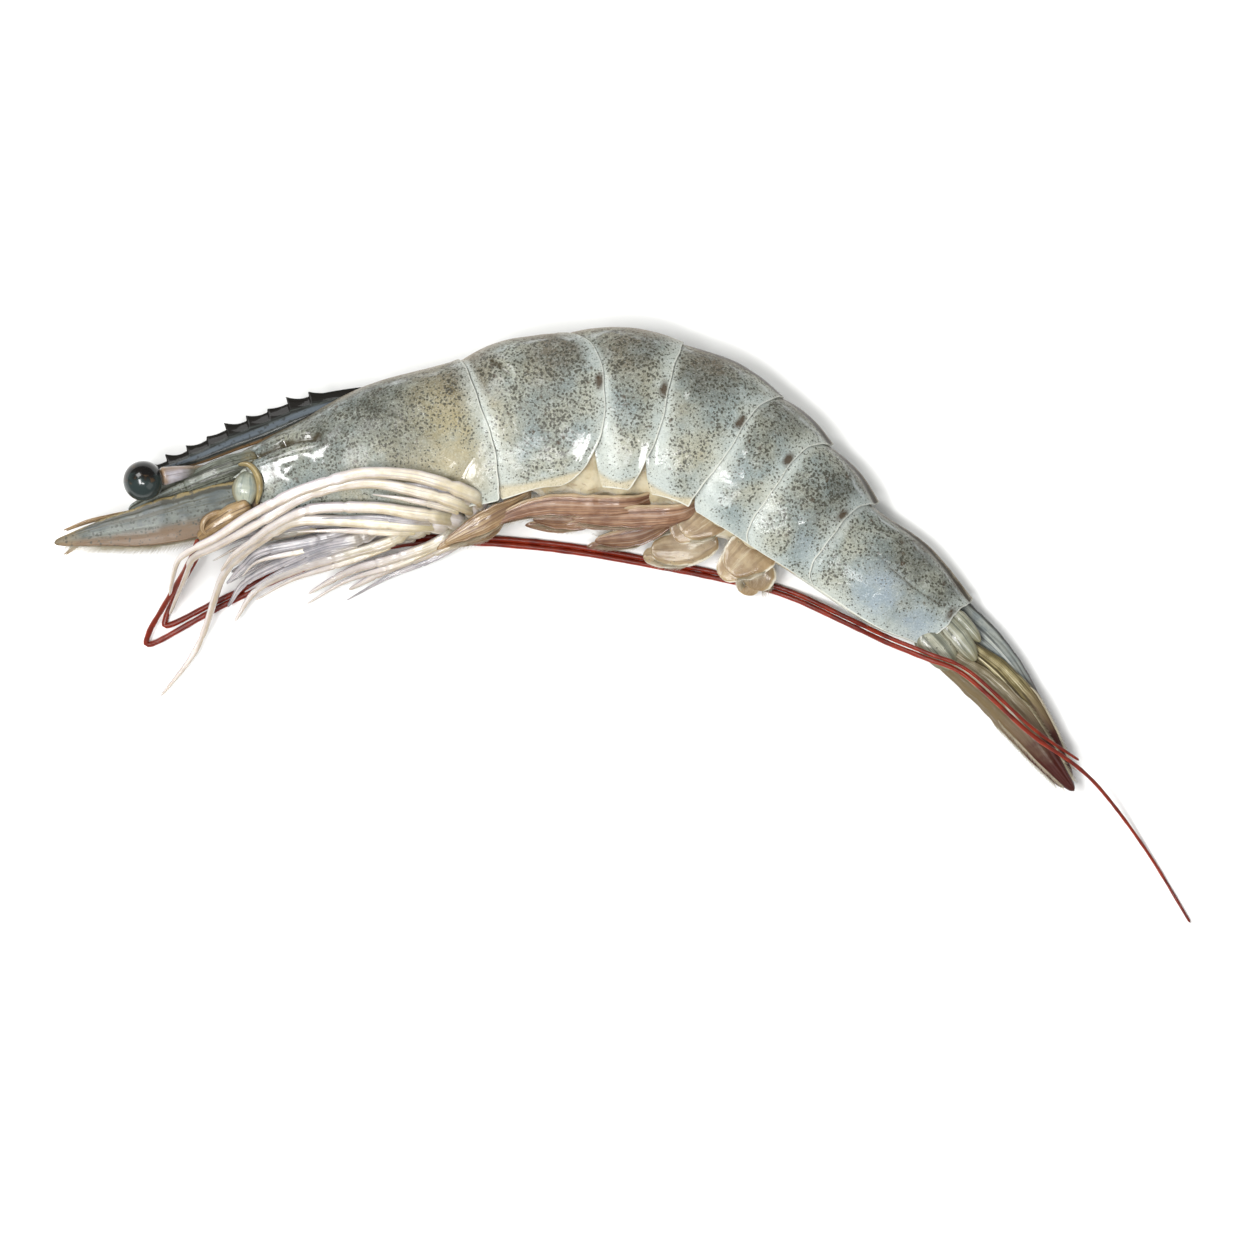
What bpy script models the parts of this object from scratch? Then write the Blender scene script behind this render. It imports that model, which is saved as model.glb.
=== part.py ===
"""A raw white-leg shrimp with its head and shell on, lying on its right side as it would on a board.

Lengths are in metres and +Z is up. The body's centre line lies level, with the head towards -X and the back
towards +Y, so the shrimp's left side faces up. A place on the body is given by three lengths: along the
centre line from the head, height from it towards the back, and side from it towards the shrimp's left.
"""

import math

import bmesh
import bpy
import numpy as np
from mathutils import Vector

MM = 0.001

# The centre line of the body as it lies: the head first, then the arched abdomen and the tail fan.
CENTRE_LINE = (
    (-74.8, 6.2), (-63.8, 9.2), (-53.9, 12.3), (-45.3, 14.5), (-33.9, 16.5), (-20.2, 19.1), (-9.9, 21.8),
    (2.9, 22.7), (14.5, 20.0), (23.1, 14.5), (30.6, 8.1), (37.0, 2.0), (44.2, -3.7), (51.3, -9.2),
    (60.5, -19.4), (70.4, -33.9),
)
# Middle of the box round the whole shrimp, so that the part's origin is under its centre.
BOX_MIDDLE = (3.64, -9.57)

# Outer size of the shell along the centre line: along, up to the back, down to the shell's lower edge,
# half width, and how high the centre line lies above the board.
PROFILE = (
    (14.0, 4.6, 3.4, 3.6, 8.5),
    (21.8, 6.4, 4.8, 5.2, 8.5),
    (30.7, 6.6, 7.3, 6.8, 8.5),
    (42.3, 9.6, 9.9, 7.9, 8.5),
    (56.2, 11.0, 11.0, 8.3, 8.5),
    (66.8, 11.7, 11.0, 8.3, 8.5),
    (79.7, 12.0, 12.0, 8.3, 8.5),
    (91.7, 10.9, 11.7, 7.9, 8.1),
    (101.9, 10.2, 11.0, 7.3, 7.5),
    (111.7, 8.9, 9.7, 6.5, 6.7),
    (120.6, 7.4, 7.9, 5.5, 5.7),
    (129.8, 7.0, 7.0, 4.9, 5.1),
    (138.8, 5.0, 4.9, 3.9, 4.15),
    (152.5, 3.6, 3.6, 3.0, 3.6),
    (170.1, 2.0, 2.0, 2.0, 2.2),
)

# Shell rings: each one's rear rim stands out over the front of the next, as roof tiles do. HINGE is the share
# of the way from the back to the lower edge where two rings turn on each other.
SHELL_THICKNESS = 0.45 * MM
TILE_RISE = 1.1 * MM
RIM_OVERLAP = 2.0 * MM
HINGE = 0.4
# Where a ring lies on the board its underside is pressed flat. Its front stays this high, clear of the rim
# that covers it.
FRONT_LIFT = 0.95 * MM
# Below its hinge a side plate curls in towards the legs: how far it turns, and the share of width it loses.
SIDE_TURN = math.radians(80)
TUCK_IN = 0.22
# The keel takes up this share of the way round at the back of a ring.
KEEL_SHARE = 0.09
GAP = 0.3 * MM

CARAPACE_REAR = 59.6 * MM
# Front margin of the carapace from the back round to the lower edge: share of the way round, along.
CARAPACE_FRONT = (
    (0.0, 17.5), (0.14, 19.5), (0.3, 24.0), (0.4, 20.0), (0.52, 22.3), (0.75, 23.0), (0.9, 25.0), (1.0, 29.0)
)

# Rear margin of each ring at the hinge, then how far it lags behind at the back and at the lower edge, how
# much its lower rear and front corners are rounded, and the height of the keel along its back.
RINGS = (
    ("shell_1", 77.2, -7.4, -1.0, 9.0, 1.5, 0.0),
    ("shell_2", 85.9, 0.3, -0.5, 4.0, 3.0, 0.0),
    ("shell_3", 97.0, 2.6, 1.6, 2.2, 5.0, 0.0),
    ("shell_4", 105.6, 3.4, 5.0, 2.4, 4.5, 0.4),
    ("shell_5", 116.8, 2.6, 4.5, 1.6, 4.0, 0.7),
    ("shell_6", 138.6, 0.4, 0.4, 2.5, 2.0, 0.8),
)
CARAPACE_LAG = (-2.5, 1.8)
CARAPACE_CORNER = 4.0

# The toothed blade on the carapace: its upper and lower edges from the back of the crest to the point.
ROSTRUM_TOP = (
    (-33.0, 26.0), (-43.6, 24.5), (-50.8, 21.7), (-56.1, 19.4), (-63.8, 15.3), (-70.0, 12.8),
)
ROSTRUM_UNDER = ((-64.5, 13.5), (-59.4, 14.9), (-53.9, 17.4), (-49.9, 18.9))
ROSTRUM_THICKNESS = 1.3 * MM
TEETH = 9
TOOTH_PITCH = 3.3 * MM
TOOTH_HEIGHT = 1.1 * MM
# One tooth from its root: share of the pitch, share of the height. The point is followed by a steep front.
TOOTH = ((0.0, 0.0), (0.62, 1.0), (0.66, 0.15))
POINT_LENGTH = 2.0 * MM
# Behind the head's front the blade's foot runs inside the thickness of the shell's back: places along it.
BLADE_FOOT = (27.5, 31.0, 35.0, 39.0, 43.0)
FOOT_DEPTH = 0.35 * MM

# The meat: where it starts and ends along the body, the shares of its length that its two ends take to close,
# how square its belly is, and how far that belly stands below the shell's lower edge.
FLESH_ENDS = (19.0 * MM, 137.5 * MM)
FLESH_ROUNDING = (0.05, 0.03)
BELLY_FULLNESS = 0.8
BELLY = ((58.0, -2.2), (66.0, 0.3), (112.0, 0.2), (122.0, -1.2))

# Directions in which a limb's or a blade's breadth lies: across the head, or across the curled abdomen.
ACROSS = (0, 1, 0)
ALONG_AND_ACROSS = (1, 1, 0)

# A limb's ends are rounded over this many of its rings.
ROUNDED_RINGS = 1.5

EYE_RADIUS = 2.95 * MM
EYE_SPREAD = 5.5 * MM
EYE = (-67.4, 11.9)
HEAD_REST = 8.5 * MM


def hex_colour(code):
    """A linear colour from an sRGB hex code."""
    channels = [int(code[i : i + 2], 16) / 255 for i in (1, 3, 5)]
    return [c / 12.92 if c <= 0.04045 else ((c + 0.055) / 1.055) ** 2.4 for c in channels] + [1.0]


def material(name, code, roughness, metallic=0.0):
    made = bpy.data.materials.new(name)
    made.use_nodes = True
    surface = made.node_tree.nodes["Principled BSDF"]
    surface.inputs["Base Color"].default_value = hex_colour(code)
    surface.inputs["Roughness"].default_value = roughness
    surface.inputs["Metallic"].default_value = metallic
    made.diffuse_color = hex_colour(code)
    return made


def smooth_line(points, steps=24):
    """A Catmull-Rom curve through points of any number of dimensions, with that many rows for each span."""
    given = np.array(points, float)
    ends = np.vstack([2 * given[0] - given[1], given, 2 * given[-1] - given[-2]])
    rows = []
    for before, start, end, after in zip(ends, ends[1:], ends[2:], ends[3:]):
        for step in range(steps):
            t = step / steps
            rows.append(
                0.5
                * (
                    2 * start
                    + (end - before) * t
                    + (2 * before - 5 * start + 4 * end - after) * t**2
                    + (3 * start - before - 3 * end + after) * t**3
                )
            )
    return np.vstack([rows, given[-1]])


def dome(share):
    """How full a rounded end is at that share of its depth: 0 at its pole, 1 where the rounding is over."""
    return math.sqrt(1 - (1 - min(1.0, max(0.0, share))) ** 2)


def lengths_along(line):
    return np.concatenate([[0], np.cumsum(np.linalg.norm(np.diff(line, axis=0), axis=1))])


def at_length(at, lengths, rows):
    """The row of a line's table at that length along it, as a vector."""
    return Vector([np.interp(at, lengths, column) for column in rows.T])


BODY = smooth_line(CENTRE_LINE) * MM
BODY_LENGTHS = lengths_along(BODY)
BODY_HEADINGS = np.gradient(BODY, BODY_LENGTHS, axis=0)
SIZES = smooth_line(PROFILE) * MM


def size_at(along):
    """Back height, lower-edge depth, half width and rest height of the shell at that length."""
    return [float(np.interp(along, SIZES[:, 0], SIZES[:, column])) for column in (1, 2, 3, 4)]


def on_body(along, height, side):
    """The point in space of a place on the body."""
    centre = at_length(along, BODY_LENGTHS, BODY)
    heading = at_length(along, BODY_LENGTHS, BODY_HEADINGS).normalized()
    rest = size_at(along)[3]
    return Vector((centre.x - heading.y * height, centre.y + heading.x * height, rest + side))


def add_object(name, data, finish, parent):
    made = bpy.data.objects.new(name, data)
    PARTS.objects.link(made)
    made.data.materials.append(finish)
    made.parent = parent
    return made


def mesh_object(name, bm, finish, parent):
    mesh = bpy.data.meshes.new(name)
    bm.to_mesh(mesh)
    bm.free()
    mesh.shade_smooth()
    mesh.set_sharp_from_angle(angle=math.radians(60))
    return add_object(name, mesh, finish, parent)


def shaped_ball(name, rings, sides, place, finish, parent):
    """A ball whose every point is moved to place(share from pole to pole, angle round the poles)."""
    bm = bmesh.new()
    bmesh.ops.create_uvsphere(bm, u_segments=sides, v_segments=rings, radius=1)
    for vert in bm.verts:
        share = math.acos(max(-1.0, min(1.0, vert.co.z))) / math.pi
        vert.co = place(share, math.atan2(vert.co.y, vert.co.x))
    if bm.calc_volume(signed=True) < 0:
        bmesh.ops.reverse_faces(bm, faces=bm.faces)
    return mesh_object(name, bm, finish, parent)


def shaped_shell(name, lengthwise, around, place, finish, parent):
    """An open sheet whose every point is moved to place(share lengthwise, share around from -1 to 1)."""
    bm = bmesh.new()
    bmesh.ops.create_grid(bm, x_segments=lengthwise, y_segments=around, size=1)
    for vert in bm.verts:
        vert.co = place((1 - vert.co.x) / 2, vert.co.y)
    made = mesh_object(name, bm, finish, parent)
    thicken = made.modifiers.new("shell thickness", "SOLIDIFY")
    thicken.thickness = SHELL_THICKNESS
    thicken.offset = -1
    return made


def shell_place(share, share_round, front, rear, keel, lift):
    """A point on the outer face of a shell: front and rear are functions of the share of the way round."""
    way = abs(share_round)
    along = front(way) + (rear(way) - front(way)) * share
    back, lower, width, rest = size_at(along)
    proud = TILE_RISE * (share - 0.5)
    if way <= 0.5:
        turn = way * math.pi
        ridge = keel * share * max(0.0, 1 - way / KEEL_SHARE)
        height = (back + proud) * math.cos(turn) + ridge
        side = (width + proud) * math.sin(turn)
    else:
        depth = math.sin((2 * way - 1) * SIDE_TURN) / math.sin(SIDE_TURN)
        height = -lower * depth
        side = (width + proud) * (1 - TUCK_IN * depth**2)
    point = on_body(along, height, math.copysign(side, share_round))
    point.z = max(point.z, lift * (1 - share))
    return point


def corner(way):
    """How far the rounding of a shell's lower corner has come, from 0 at its side to 1 at its lower edge."""
    return 1 - math.cos(max(0.0, 2 * way - 1) * SIDE_TURN)


def lag(way, at_back, at_edge):
    """How far a margin falls behind its hinge, towards the back or the lower edge."""
    if way < HINGE:
        return at_back * (1 - way / HINGE) ** 2
    return at_edge * ((way - HINGE) / (1 - HINGE)) ** 2


def carapace_front(way):
    return float(np.interp(way, *zip(*CARAPACE_FRONT))) * MM


def carapace_rear(way):
    return CARAPACE_REAR + (lag(way, *CARAPACE_LAG) - CARAPACE_CORNER * corner(way)) * MM


def make_rings(finish, parent):
    """The six shell rings of the abdomen, from the carapace to the tail."""
    hinge_before, lags_before = CARAPACE_REAR, CARAPACE_LAG
    for name, hinge, at_back, at_edge, rear_corner, front_corner, keel in RINGS:
        hinge_here, lags_here = hinge * MM, (at_back, at_edge)

        def front(way, start=hinge_before - RIM_OVERLAP, lags=lags_before, rounding=front_corner):
            return start + (lag(way, lags[0], min(lags[1], 0.0)) + rounding * corner(way)) * MM

        def rear(way, end=hinge_here, lags=lags_here, rounding=rear_corner):
            return end + (lag(way, *lags) - rounding * corner(way)) * MM

        def place(share, share_round, front=front, rear=rear, keel=keel):
            return shell_place(share, share_round, front, rear, keel * MM, FRONT_LIFT)

        shaped_shell(name, 5, 20, place, finish, parent)
        hinge_before, lags_before = hinge_here, lags_here


def make_carapace(finish, parent):
    """The head shell, joined with its toothed blade."""

    def place(share, share_round):
        return shell_place(share, share_round, carapace_front, carapace_rear, 0.0, 0.0)

    shell = shaped_shell("carapace", 12, 24, place, finish, parent)
    blade = make_rostrum(finish, parent)
    join = shell.modifiers.new("rostrum", "BOOLEAN")
    join.operation = "UNION"
    join.object = blade
    blade.hide_render = True
    blade.display_type = "WIRE"
    CUTTERS.objects.link(blade)
    PARTS.objects.unlink(blade)


def make_rostrum(finish, parent):
    """The blade's outline with its teeth, drawn flat in the body's middle plane and given a thickness."""
    top = smooth_line(ROSTRUM_TOP) * MM
    lengths = lengths_along(top)
    outline = []
    first = lengths[-1] - POINT_LENGTH - TEETH * TOOTH_PITCH
    for number in range(TEETH):
        for step, rise in TOOTH:
            at = first + (number + step) * TOOTH_PITCH
            outline.append(at_length(at, lengths, top) + Vector((0, rise * TOOTH_HEIGHT)))
    outline.append(Vector(top[-1]))
    outline += [Vector(point) * MM for point in ROSTRUM_UNDER]
    for along in BLADE_FOOT:
        back = size_at(along * MM)[0] + rise_of_carapace(along * MM)
        outline.append(on_body(along * MM, back - FOOT_DEPTH, 0).xy)
    curve = bpy.data.curves.new("rostrum", "CURVE")
    curve.dimensions = "2D"
    curve.fill_mode = "BOTH"
    curve.extrude = ROSTRUM_THICKNESS / 2
    spline = curve.splines.new("POLY")
    spline.points.add(len(outline) - 1)
    for point, place in zip(spline.points, outline):
        point.co = (place.x, place.y, 0, 1)
    spline.use_cyclic_u = True
    drawn = add_object("rostrum_outline", curve, finish, parent)
    drawn.location.z = HEAD_REST
    return as_mesh(drawn, "rostrum_blade", finish, parent)


def rise_of_carapace(along):
    """How far the carapace stands out from the profile on its back at that length along the body."""
    front, rear = carapace_front(0), carapace_rear(0)
    return TILE_RISE * ((along - front) / (rear - front) - 0.5)


def as_mesh(drawn, name, finish, parent):
    """The evaluated mesh of a curve object, welded, in place of the curve."""
    bpy.context.view_layer.update()
    graph = bpy.context.evaluated_depsgraph_get()
    mesh = bpy.data.meshes.new_from_object(drawn.evaluated_get(graph))
    bm = bmesh.new()
    bm.from_mesh(mesh)
    bmesh.ops.remove_doubles(bm, verts=bm.verts, dist=0.001 * MM)
    bm.to_mesh(mesh)
    bm.free()
    made = add_object(name, mesh, finish, parent)
    made.matrix_world = drawn.matrix_world
    bpy.data.objects.remove(drawn)
    return made


def make_flesh(finish, parent):
    """The meat and belly inside the shell, from the head to the end of the last ring."""
    start, end = FLESH_ENDS
    under_shell = SHELL_THICKNESS + TILE_RISE / 2 + GAP

    def place(share, angle):
        along = start + (end - start) * share
        back, lower, width, rest = size_at(along)
        lower += float(np.interp(along / MM, *zip(*BELLY))) * MM
        fullness = dome(min(share / FLESH_ROUNDING[0], (1 - share) / FLESH_ROUNDING[1]))
        across, up = math.sin(angle), math.cos(angle)
        if up >= 0:
            height = (back - under_shell) * up
            side = (width - under_shell) * across
        else:
            height = -lower * abs(up) ** BELLY_FULLNESS
            side = math.copysign((width - under_shell) * abs(across) ** BELLY_FULLNESS, across)
        return on_body(along, height * fullness, side * fullness)

    shaped_ball("flesh", 34, 20, place, finish, parent)


def spread(values, share):
    """The value at that share of a limb's length, from values at even steps along it."""
    return np.interp(share, np.linspace(0, 1, len(values)), values) if len(values) > 1 else values[0]


def limb(name, route, widths, thicknesses, broad, rings, sides, finish, parent):
    """A tapering limb or blade along a smooth route. Broad is the direction in which its width lies."""
    line = smooth_line(route, 12) * MM
    lengths = lengths_along(line)
    headings = np.gradient(line, lengths, axis=0)

    def place(share, angle):
        at = share * lengths[-1]
        centre = at_length(at, lengths, line)
        heading = at_length(at, lengths, headings).normalized()
        flat = heading.cross(Vector(broad)).normalized()
        wide = flat.cross(heading)
        fullness = dome(min(share, 1 - share) * rings / ROUNDED_RINGS)
        width = spread(widths, share) * MM / 2 * fullness
        thickness = spread(thicknesses, share) * MM / 2 * fullness
        return centre + wide * (width * math.cos(angle)) + flat * (thickness * math.sin(angle))

    shaped_ball(name, rings, sides, place, finish, parent)


def both_sides(route):
    """The route of a left limb, given by its distance from the middle plane, and its mirror image."""
    rest = HEAD_REST / MM
    yield "left", [(x, y, rest + side) for x, y, side in route]
    yield "right", [(x, y, rest - side) for x, y, side in route]


def make_eyes(eye_finish, stalk_finish, parent):
    for hand, sign in (("left", 1), ("right", -1)):
        centre = Vector((*EYE, 0)) * MM + Vector((0, 0, HEAD_REST + sign * EYE_SPREAD))

        def place(share, angle, centre=centre):
            turn = share * math.pi
            ring = math.sin(turn)
            outward = Vector((ring * math.cos(angle), ring * math.sin(angle), math.cos(turn)))
            return centre + EYE_RADIUS * outward

        shaped_ball(f"eye_{hand}", 10, 16, place, eye_finish, parent)
    stalk = ((-58.6, 13.8, 2.2), (-61.6, 13.2, 3.6), (-64.5, 12.6, 4.7))
    for hand, route in both_sides(stalk):
        limb(f"eye_stalk_{hand}", route, (1.3, 2.0, 2.6), (1.3, 1.8, 2.2), ACROSS, 8, 10, stalk_finish,
             parent)


def make_head_limbs(scale_finish, limb_finish, parent):
    """Antennal scales, antennules and the stout bases of the two long feelers."""
    scale = (
        (-53.0, 9.4, 3.6), (-57.0, 7.7, 3.7), (-66.2, 5.6, 3.6), (-73.9, 4.2, 3.0), (-80.9, 2.8, 2.2),
    )
    for hand, route in both_sides(scale):
        limb(f"antennal_scale_{hand}", route, (4.2, 6.4, 6.8, 6.2, 4.8, 3.0, 0.8), (1.2, 0.9, 0.7, 0.5),
             ACROSS, 12, 8, scale_finish, parent)
    antennule = (
        (-57.6, 11.4, 1.5), (-61.6, 9.9, 1.5), (-66.6, 8.2, 1.3), (-72.4, 6.0, 1.1), (-78.8, 2.0, 0.9),
    )
    for hand, route in both_sides(antennule):
        limb(f"antennule_{hand}", route, (2.9, 2.7, 2.1, 0.8, 0.5), (2.0, 1.9, 1.5, 0.7, 0.5), ACROSS,
             12, 8, scale_finish, parent)
    base = ((-52.6, 7.6, 5.2), (-55.4, 6.6, 5.4), (-58.6, 4.6, 5.3))
    for hand, route in both_sides(base):
        limb(f"antenna_base_{hand}", route, (2.6, 3.0, 1.6), (2.0, 2.2, 1.4), ACROSS, 8, 8, limb_finish,
             parent)


def make_feeler(name, route, start_radius, end_radius, finish, parent):
    """A long whip-like antenna: a round tube that thins towards its free end."""
    line = smooth_line(route, 3) * MM
    curve = bpy.data.curves.new(name, "CURVE")
    curve.dimensions = "3D"
    curve.bevel_depth = start_radius
    curve.bevel_resolution = 2
    curve.use_fill_caps = True
    spline = curve.splines.new("POLY")
    spline.points.add(len(line) - 1)
    for number, (point, place) in enumerate(zip(spline.points, line)):
        share = number / (len(line) - 1)
        point.co = (*place, 1)
        point.radius = 1 + (end_radius / start_radius - 1) * share
    return add_object(name, curve, finish, parent)


# The feelers run down from the head, turn back sharply on the board and trail past the tail: places over it.
FEELERS = {
    "antenna_left": (
        (-59.4, 3.4, 13.2), (-60.8, 0.4, 10.6), (-63.0, -3.0, 6.8), (-65.6, -6.8, 3.6), (-67.9, -10.6, 1.4),
        (-67.2, -12.0, 0.7), (-56.9, -6.4, 0.55), (-44.0, -0.6, 0.55), (-30.4, 2.7, 0.55), (-19.3, 3.0, 0.55),
        (-7.0, 2.0, 0.55), (4.4, 0.2, 0.55), (17.6, -2.4, 0.55), (27.1, -4.8, 1.0), (36.5, -9.1, 3.6),
        (42.0, -11.8, 7.0), (47.8, -14.2, 9.6), (53.7, -16.8, 10.2), (63.1, -25.2, 9.0), (70.6, -30.4, 6.4),
        (75.6, -35.4, 3.4), (82.0, -44.0, 0.8), (88.0, -53.9, 0.5),
    ),
    "antenna_right": (
        (-59.4, 3.4, 4.0), (-60.9, 0.2, 2.8), (-63.4, -4.0, 1.4), (-65.4, -8.2, 0.6), (-64.6, -9.2, 0.5),
        (-56.6, -5.0, 0.5), (-44.2, 0.6, 0.5), (-30.6, 3.9, 0.5), (-19.3, 4.3, 0.5), (-6.8, 3.4, 0.5),
        (4.7, 1.5, 0.5), (17.9, -1.1, 0.5), (27.6, -3.5, 0.9), (36.9, -8.0, 3.6),
        (42.4, -10.8, 7.3), (48.3, -13.1, 9.9), (54.8, -16.0, 10.2), (63.9, -23.6, 8.8), (70.9, -28.6, 6.2),
    ),
}
FEELER_RADII = (0.48 * MM, 0.22 * MM)


def make_feelers(finish, parent):
    for name, route in FEELERS.items():
        make_feeler(name, route, *FEELER_RADII, finish, parent)


# Walking legs, first pair to fifth, and the feeding limbs before them: places of their joints over the board.
LEGS = {
    "maxilliped_left": ((-37.0, 6.4, 9.8), (-42.0, 6.0, 10.6), (-48.4, 5.0, 10.2), (-53.4, 3.8, 9.9),
                        (-57.4, 2.2, 9.4)),
    "leg_1_left": ((-32.4, 6.0, 10.2), (-35.6, 3.4, 11.6), (-41.0, 2.4, 10.8), (-47.0, 0.2, 8.4),
                   (-53.0, -2.8, 4.6), (-56.0, -6.6, 2.0)),
    "leg_2_left": ((-27.4, 6.6, 10.8), (-29.6, 4.8, 13.2), (-34.8, 4.4, 14.6), (-40.0, 4.4, 14.6),
                   (-46.2, 2.2, 12.4), (-52.4, -0.4, 9.0), (-56.9, -5.5, 4.4), (-60.9, -13.6, 1.3),
                   (-66.2, -20.0, 0.8)),
    "leg_3_left": ((-24.4, 7.0, 10.8), (-25.0, 5.0, 13.8), (-29.3, 6.2, 16.2), (-34.8, 7.8, 16.6),
                   (-41.8, 7.6, 15.9), (-46.6, 5.2, 14.9), (-51.8, 2.2, 13.2), (-55.2, -0.6, 10.6)),
    "leg_4_left": ((-21.6, 7.6, 11.2), (-20.6, 5.4, 14.4), (-24.2, 8.2, 17.2), (-30.8, 10.4, 17.6),
                   (-37.4, 11.0, 17.5), (-43.2, 9.4, 17.2), (-47.8, 6.0, 16.7), (-53.2, 2.2, 15.6),
                   (-59.0, -2.8, 8.6), (-64.8, -7.9, 1.6)),
    "leg_5_left": ((-19.2, 8.4, 11.6), (-17.6, 7.0, 15.2), (-21.6, 9.2, 18.2), (-31.0, 12.3, 19.2),
                   (-37.8, 13.2, 19.2), (-43.8, 11.8, 18.9), (-48.6, 8.2, 18.4), (-54.0, 4.1, 17.3),
                   (-59.6, 1.2, 14.0), (-63.0, -1.2, 10.4), (-64.2, -5.2, 7.4)),
    "maxilliped_right": ((-37.0, 6.4, 7.4), (-42.0, 6.0, 6.6), (-48.4, 5.0, 6.4), (-53.4, 3.8, 6.6),
                         (-57.6, 1.8, 6.4)),
    "leg_1_right": ((-32.4, 6.0, 6.8), (-37.0, 4.2, 5.4), (-43.6, 3.4, 4.4), (-50.0, 1.4, 3.6),
                    (-55.4, -1.4, 3.0)),
    "leg_2_right": ((-27.4, 6.6, 6.4), (-31.0, 3.4, 6.4), (-38.0, 1.2, 5.4), (-45.6, -1.0, 4.0),
                    (-51.6, -4.0, 2.6), (-55.0, -8.8, 1.8)),
    "leg_3_right": ((-24.4, 7.0, 6.2), (-27.4, 4.6, 3.4), (-34.0, 3.8, 2.6), (-42.0, 2.0, 2.2),
                    (-49.0, -0.6, 1.9)),
    "leg_4_right": ((-21.6, 7.6, 5.8), (-23.6, 3.6, 5.6), (-30.0, 1.0, 4.4), (-37.6, -1.2, 3.0),
                    (-44.0, -4.6, 1.8)),
    "leg_5_right": ((-19.2, 8.4, 5.6), (-19.2, 4.8, 4.0), (-24.6, 2.0, 2.8), (-31.4, -0.6, 2.2),
                    (-38.0, -4.0, 0.9)),
}
LEG_WIDTHS = (1.7, 1.8, 1.6, 1.4, 1.0, 0.6)

# Swimmerets, first pair to fifth, folded forward under the belly, the last ones spread as leaves.
SWIMMERETS = {
    "swimmeret_1_left": ((-11.8, 9.8, 12.0), (-16.6, 5.4, 12.6), (-22.6, 2.4, 12.2)),
    "swimmeret_2_left": ((3.6, 9.2, 12.0), (-2.0, 7.7, 12.5), (-9.4, 8.4, 12.6)),
    "swimmeret_3_left": ((11.8, 7.0, 11.6), (7.4, 5.4, 11.9), (0.8, 5.2, 11.8)),
    "swimmeret_4_left": ((17.8, 4.4, 11.0), (14.6, 3.8, 11.4), (9.8, 2.8, 11.4)),
    "swimmeret_5_left": ((20.4, 2.4, 10.2), (19.4, 0.2, 10.4), (18.2, -2.6, 10.2)),
    "swimmeret_1_right": ((-12.0, 9.8, 6.0), (-16.4, 5.6, 7.0), (-21.8, 3.2, 7.8)),
    "swimmeret_2_right": ((3.0, 9.0, 5.4), (-2.8, 6.6, 4.8), (-10.4, 6.4, 4.4)),
    "swimmeret_3_right": ((11.4, 6.8, 5.2), (5.8, 4.2, 4.4), (-1.2, 3.2, 4.0)),
    "swimmeret_4_right": ((17.0, 4.0, 4.8), (12.6, 2.2, 4.0), (7.2, 1.8, 3.6)),
    "swimmeret_5_right": ((23.8, 0.2, 4.6), (23.2, -1.6, 4.4), (22.4, -4.0, 3.8)),
}
STALK_WIDTHS = (2.0, 2.4, 2.8, 3.0, 2.4, 1.0)
LEAF_WIDTHS = (2.0, 3.2, 4.2, 4.0, 3.0, 1.0)
SWIMMERET_THICKNESSES = (1.6, 1.2, 0.8, 0.6)
LEAF_PAIRS = ("4", "5")


def make_limbs(leg_finish, swimmeret_finish, parent):
    for name, route in LEGS.items():
        limb(name, route, LEG_WIDTHS, LEG_WIDTHS, ACROSS, 12, 6, leg_finish, parent)
    for name, route in SWIMMERETS.items():
        widths = LEAF_WIDTHS if name.split("_")[1] in LEAF_PAIRS else STALK_WIDTHS
        limb(name, route, widths, SWIMMERET_THICKNESSES, ALONG_AND_ACROSS, 10, 6, swimmeret_finish, parent)


BASE_WIDTHS = (3.2, 3.8, 3.2)
INNER_WIDTHS = (2.4, 4.2, 4.6, 3.2, 1.0)
OUTER_WIDTHS = (3.0, 4.8, 5.2, 3.6, 1.2)
# Tail fan, folded shut: along, height and side of each blade's root, middle and tip, its widths, its thickness.
TAIL_FAN = {
    "telson": (((139.4, 2.6, 0.0), (149.0, 2.9, 0.0), (162.5, 2.2, 0.0)), (4.0, 3.6, 2.6, 1.4, 0.5), 1.7),
    "uropod_base_left": (((138.2, -2.8, 3.5), (140.8, -3.2, 3.3), (143.2, -3.6, 3.1)), BASE_WIDTHS, 1.7),
    "uropod_base_right": (((138.2, -2.8, -3.3), (140.8, -3.2, -3.1), (143.2, -3.6, -2.9)), BASE_WIDTHS, 1.3),
    "uropod_inner_left": (((144.8, -0.6, 1.9), (154.0, 0.8, 1.6), (168.4, 0.7, 0.9)), INNER_WIDTHS, 0.7),
    "uropod_inner_right": (((144.8, -0.6, -1.9), (154.0, 0.4, -1.5), (166.8, 0.2, -0.6)), INNER_WIDTHS, 0.7),
    "uropod_outer_left": (((144.0, -4.0, 3.0), (153.5, -1.6, 2.7), (170.6, -0.2, 2.2)), OUTER_WIDTHS, 0.8),
    "uropod_outer_right": (((144.0, -4.0, -2.8), (153.5, -2.0, -2.5), (169.2, -0.8, -1.6)), OUTER_WIDTHS, 0.8),
}


def make_tail_fan(finish, parent):
    for name, (route, widths, thickness) in TAIL_FAN.items():
        placed = [on_body(along * MM, height * MM, side * MM) / MM for along, height, side in route]
        limb(name, placed, widths, (thickness,), ALONG_AND_ACROSS, 10, 8, finish, parent)


for old in list(bpy.data.objects):
    bpy.data.objects.remove(old)
PARTS = bpy.data.collections.new("raw_shrimp")
CUTTERS = bpy.data.collections.new("cutters")
for collection in (PARTS, CUTTERS):
    bpy.context.scene.collection.children.link(collection)

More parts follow.
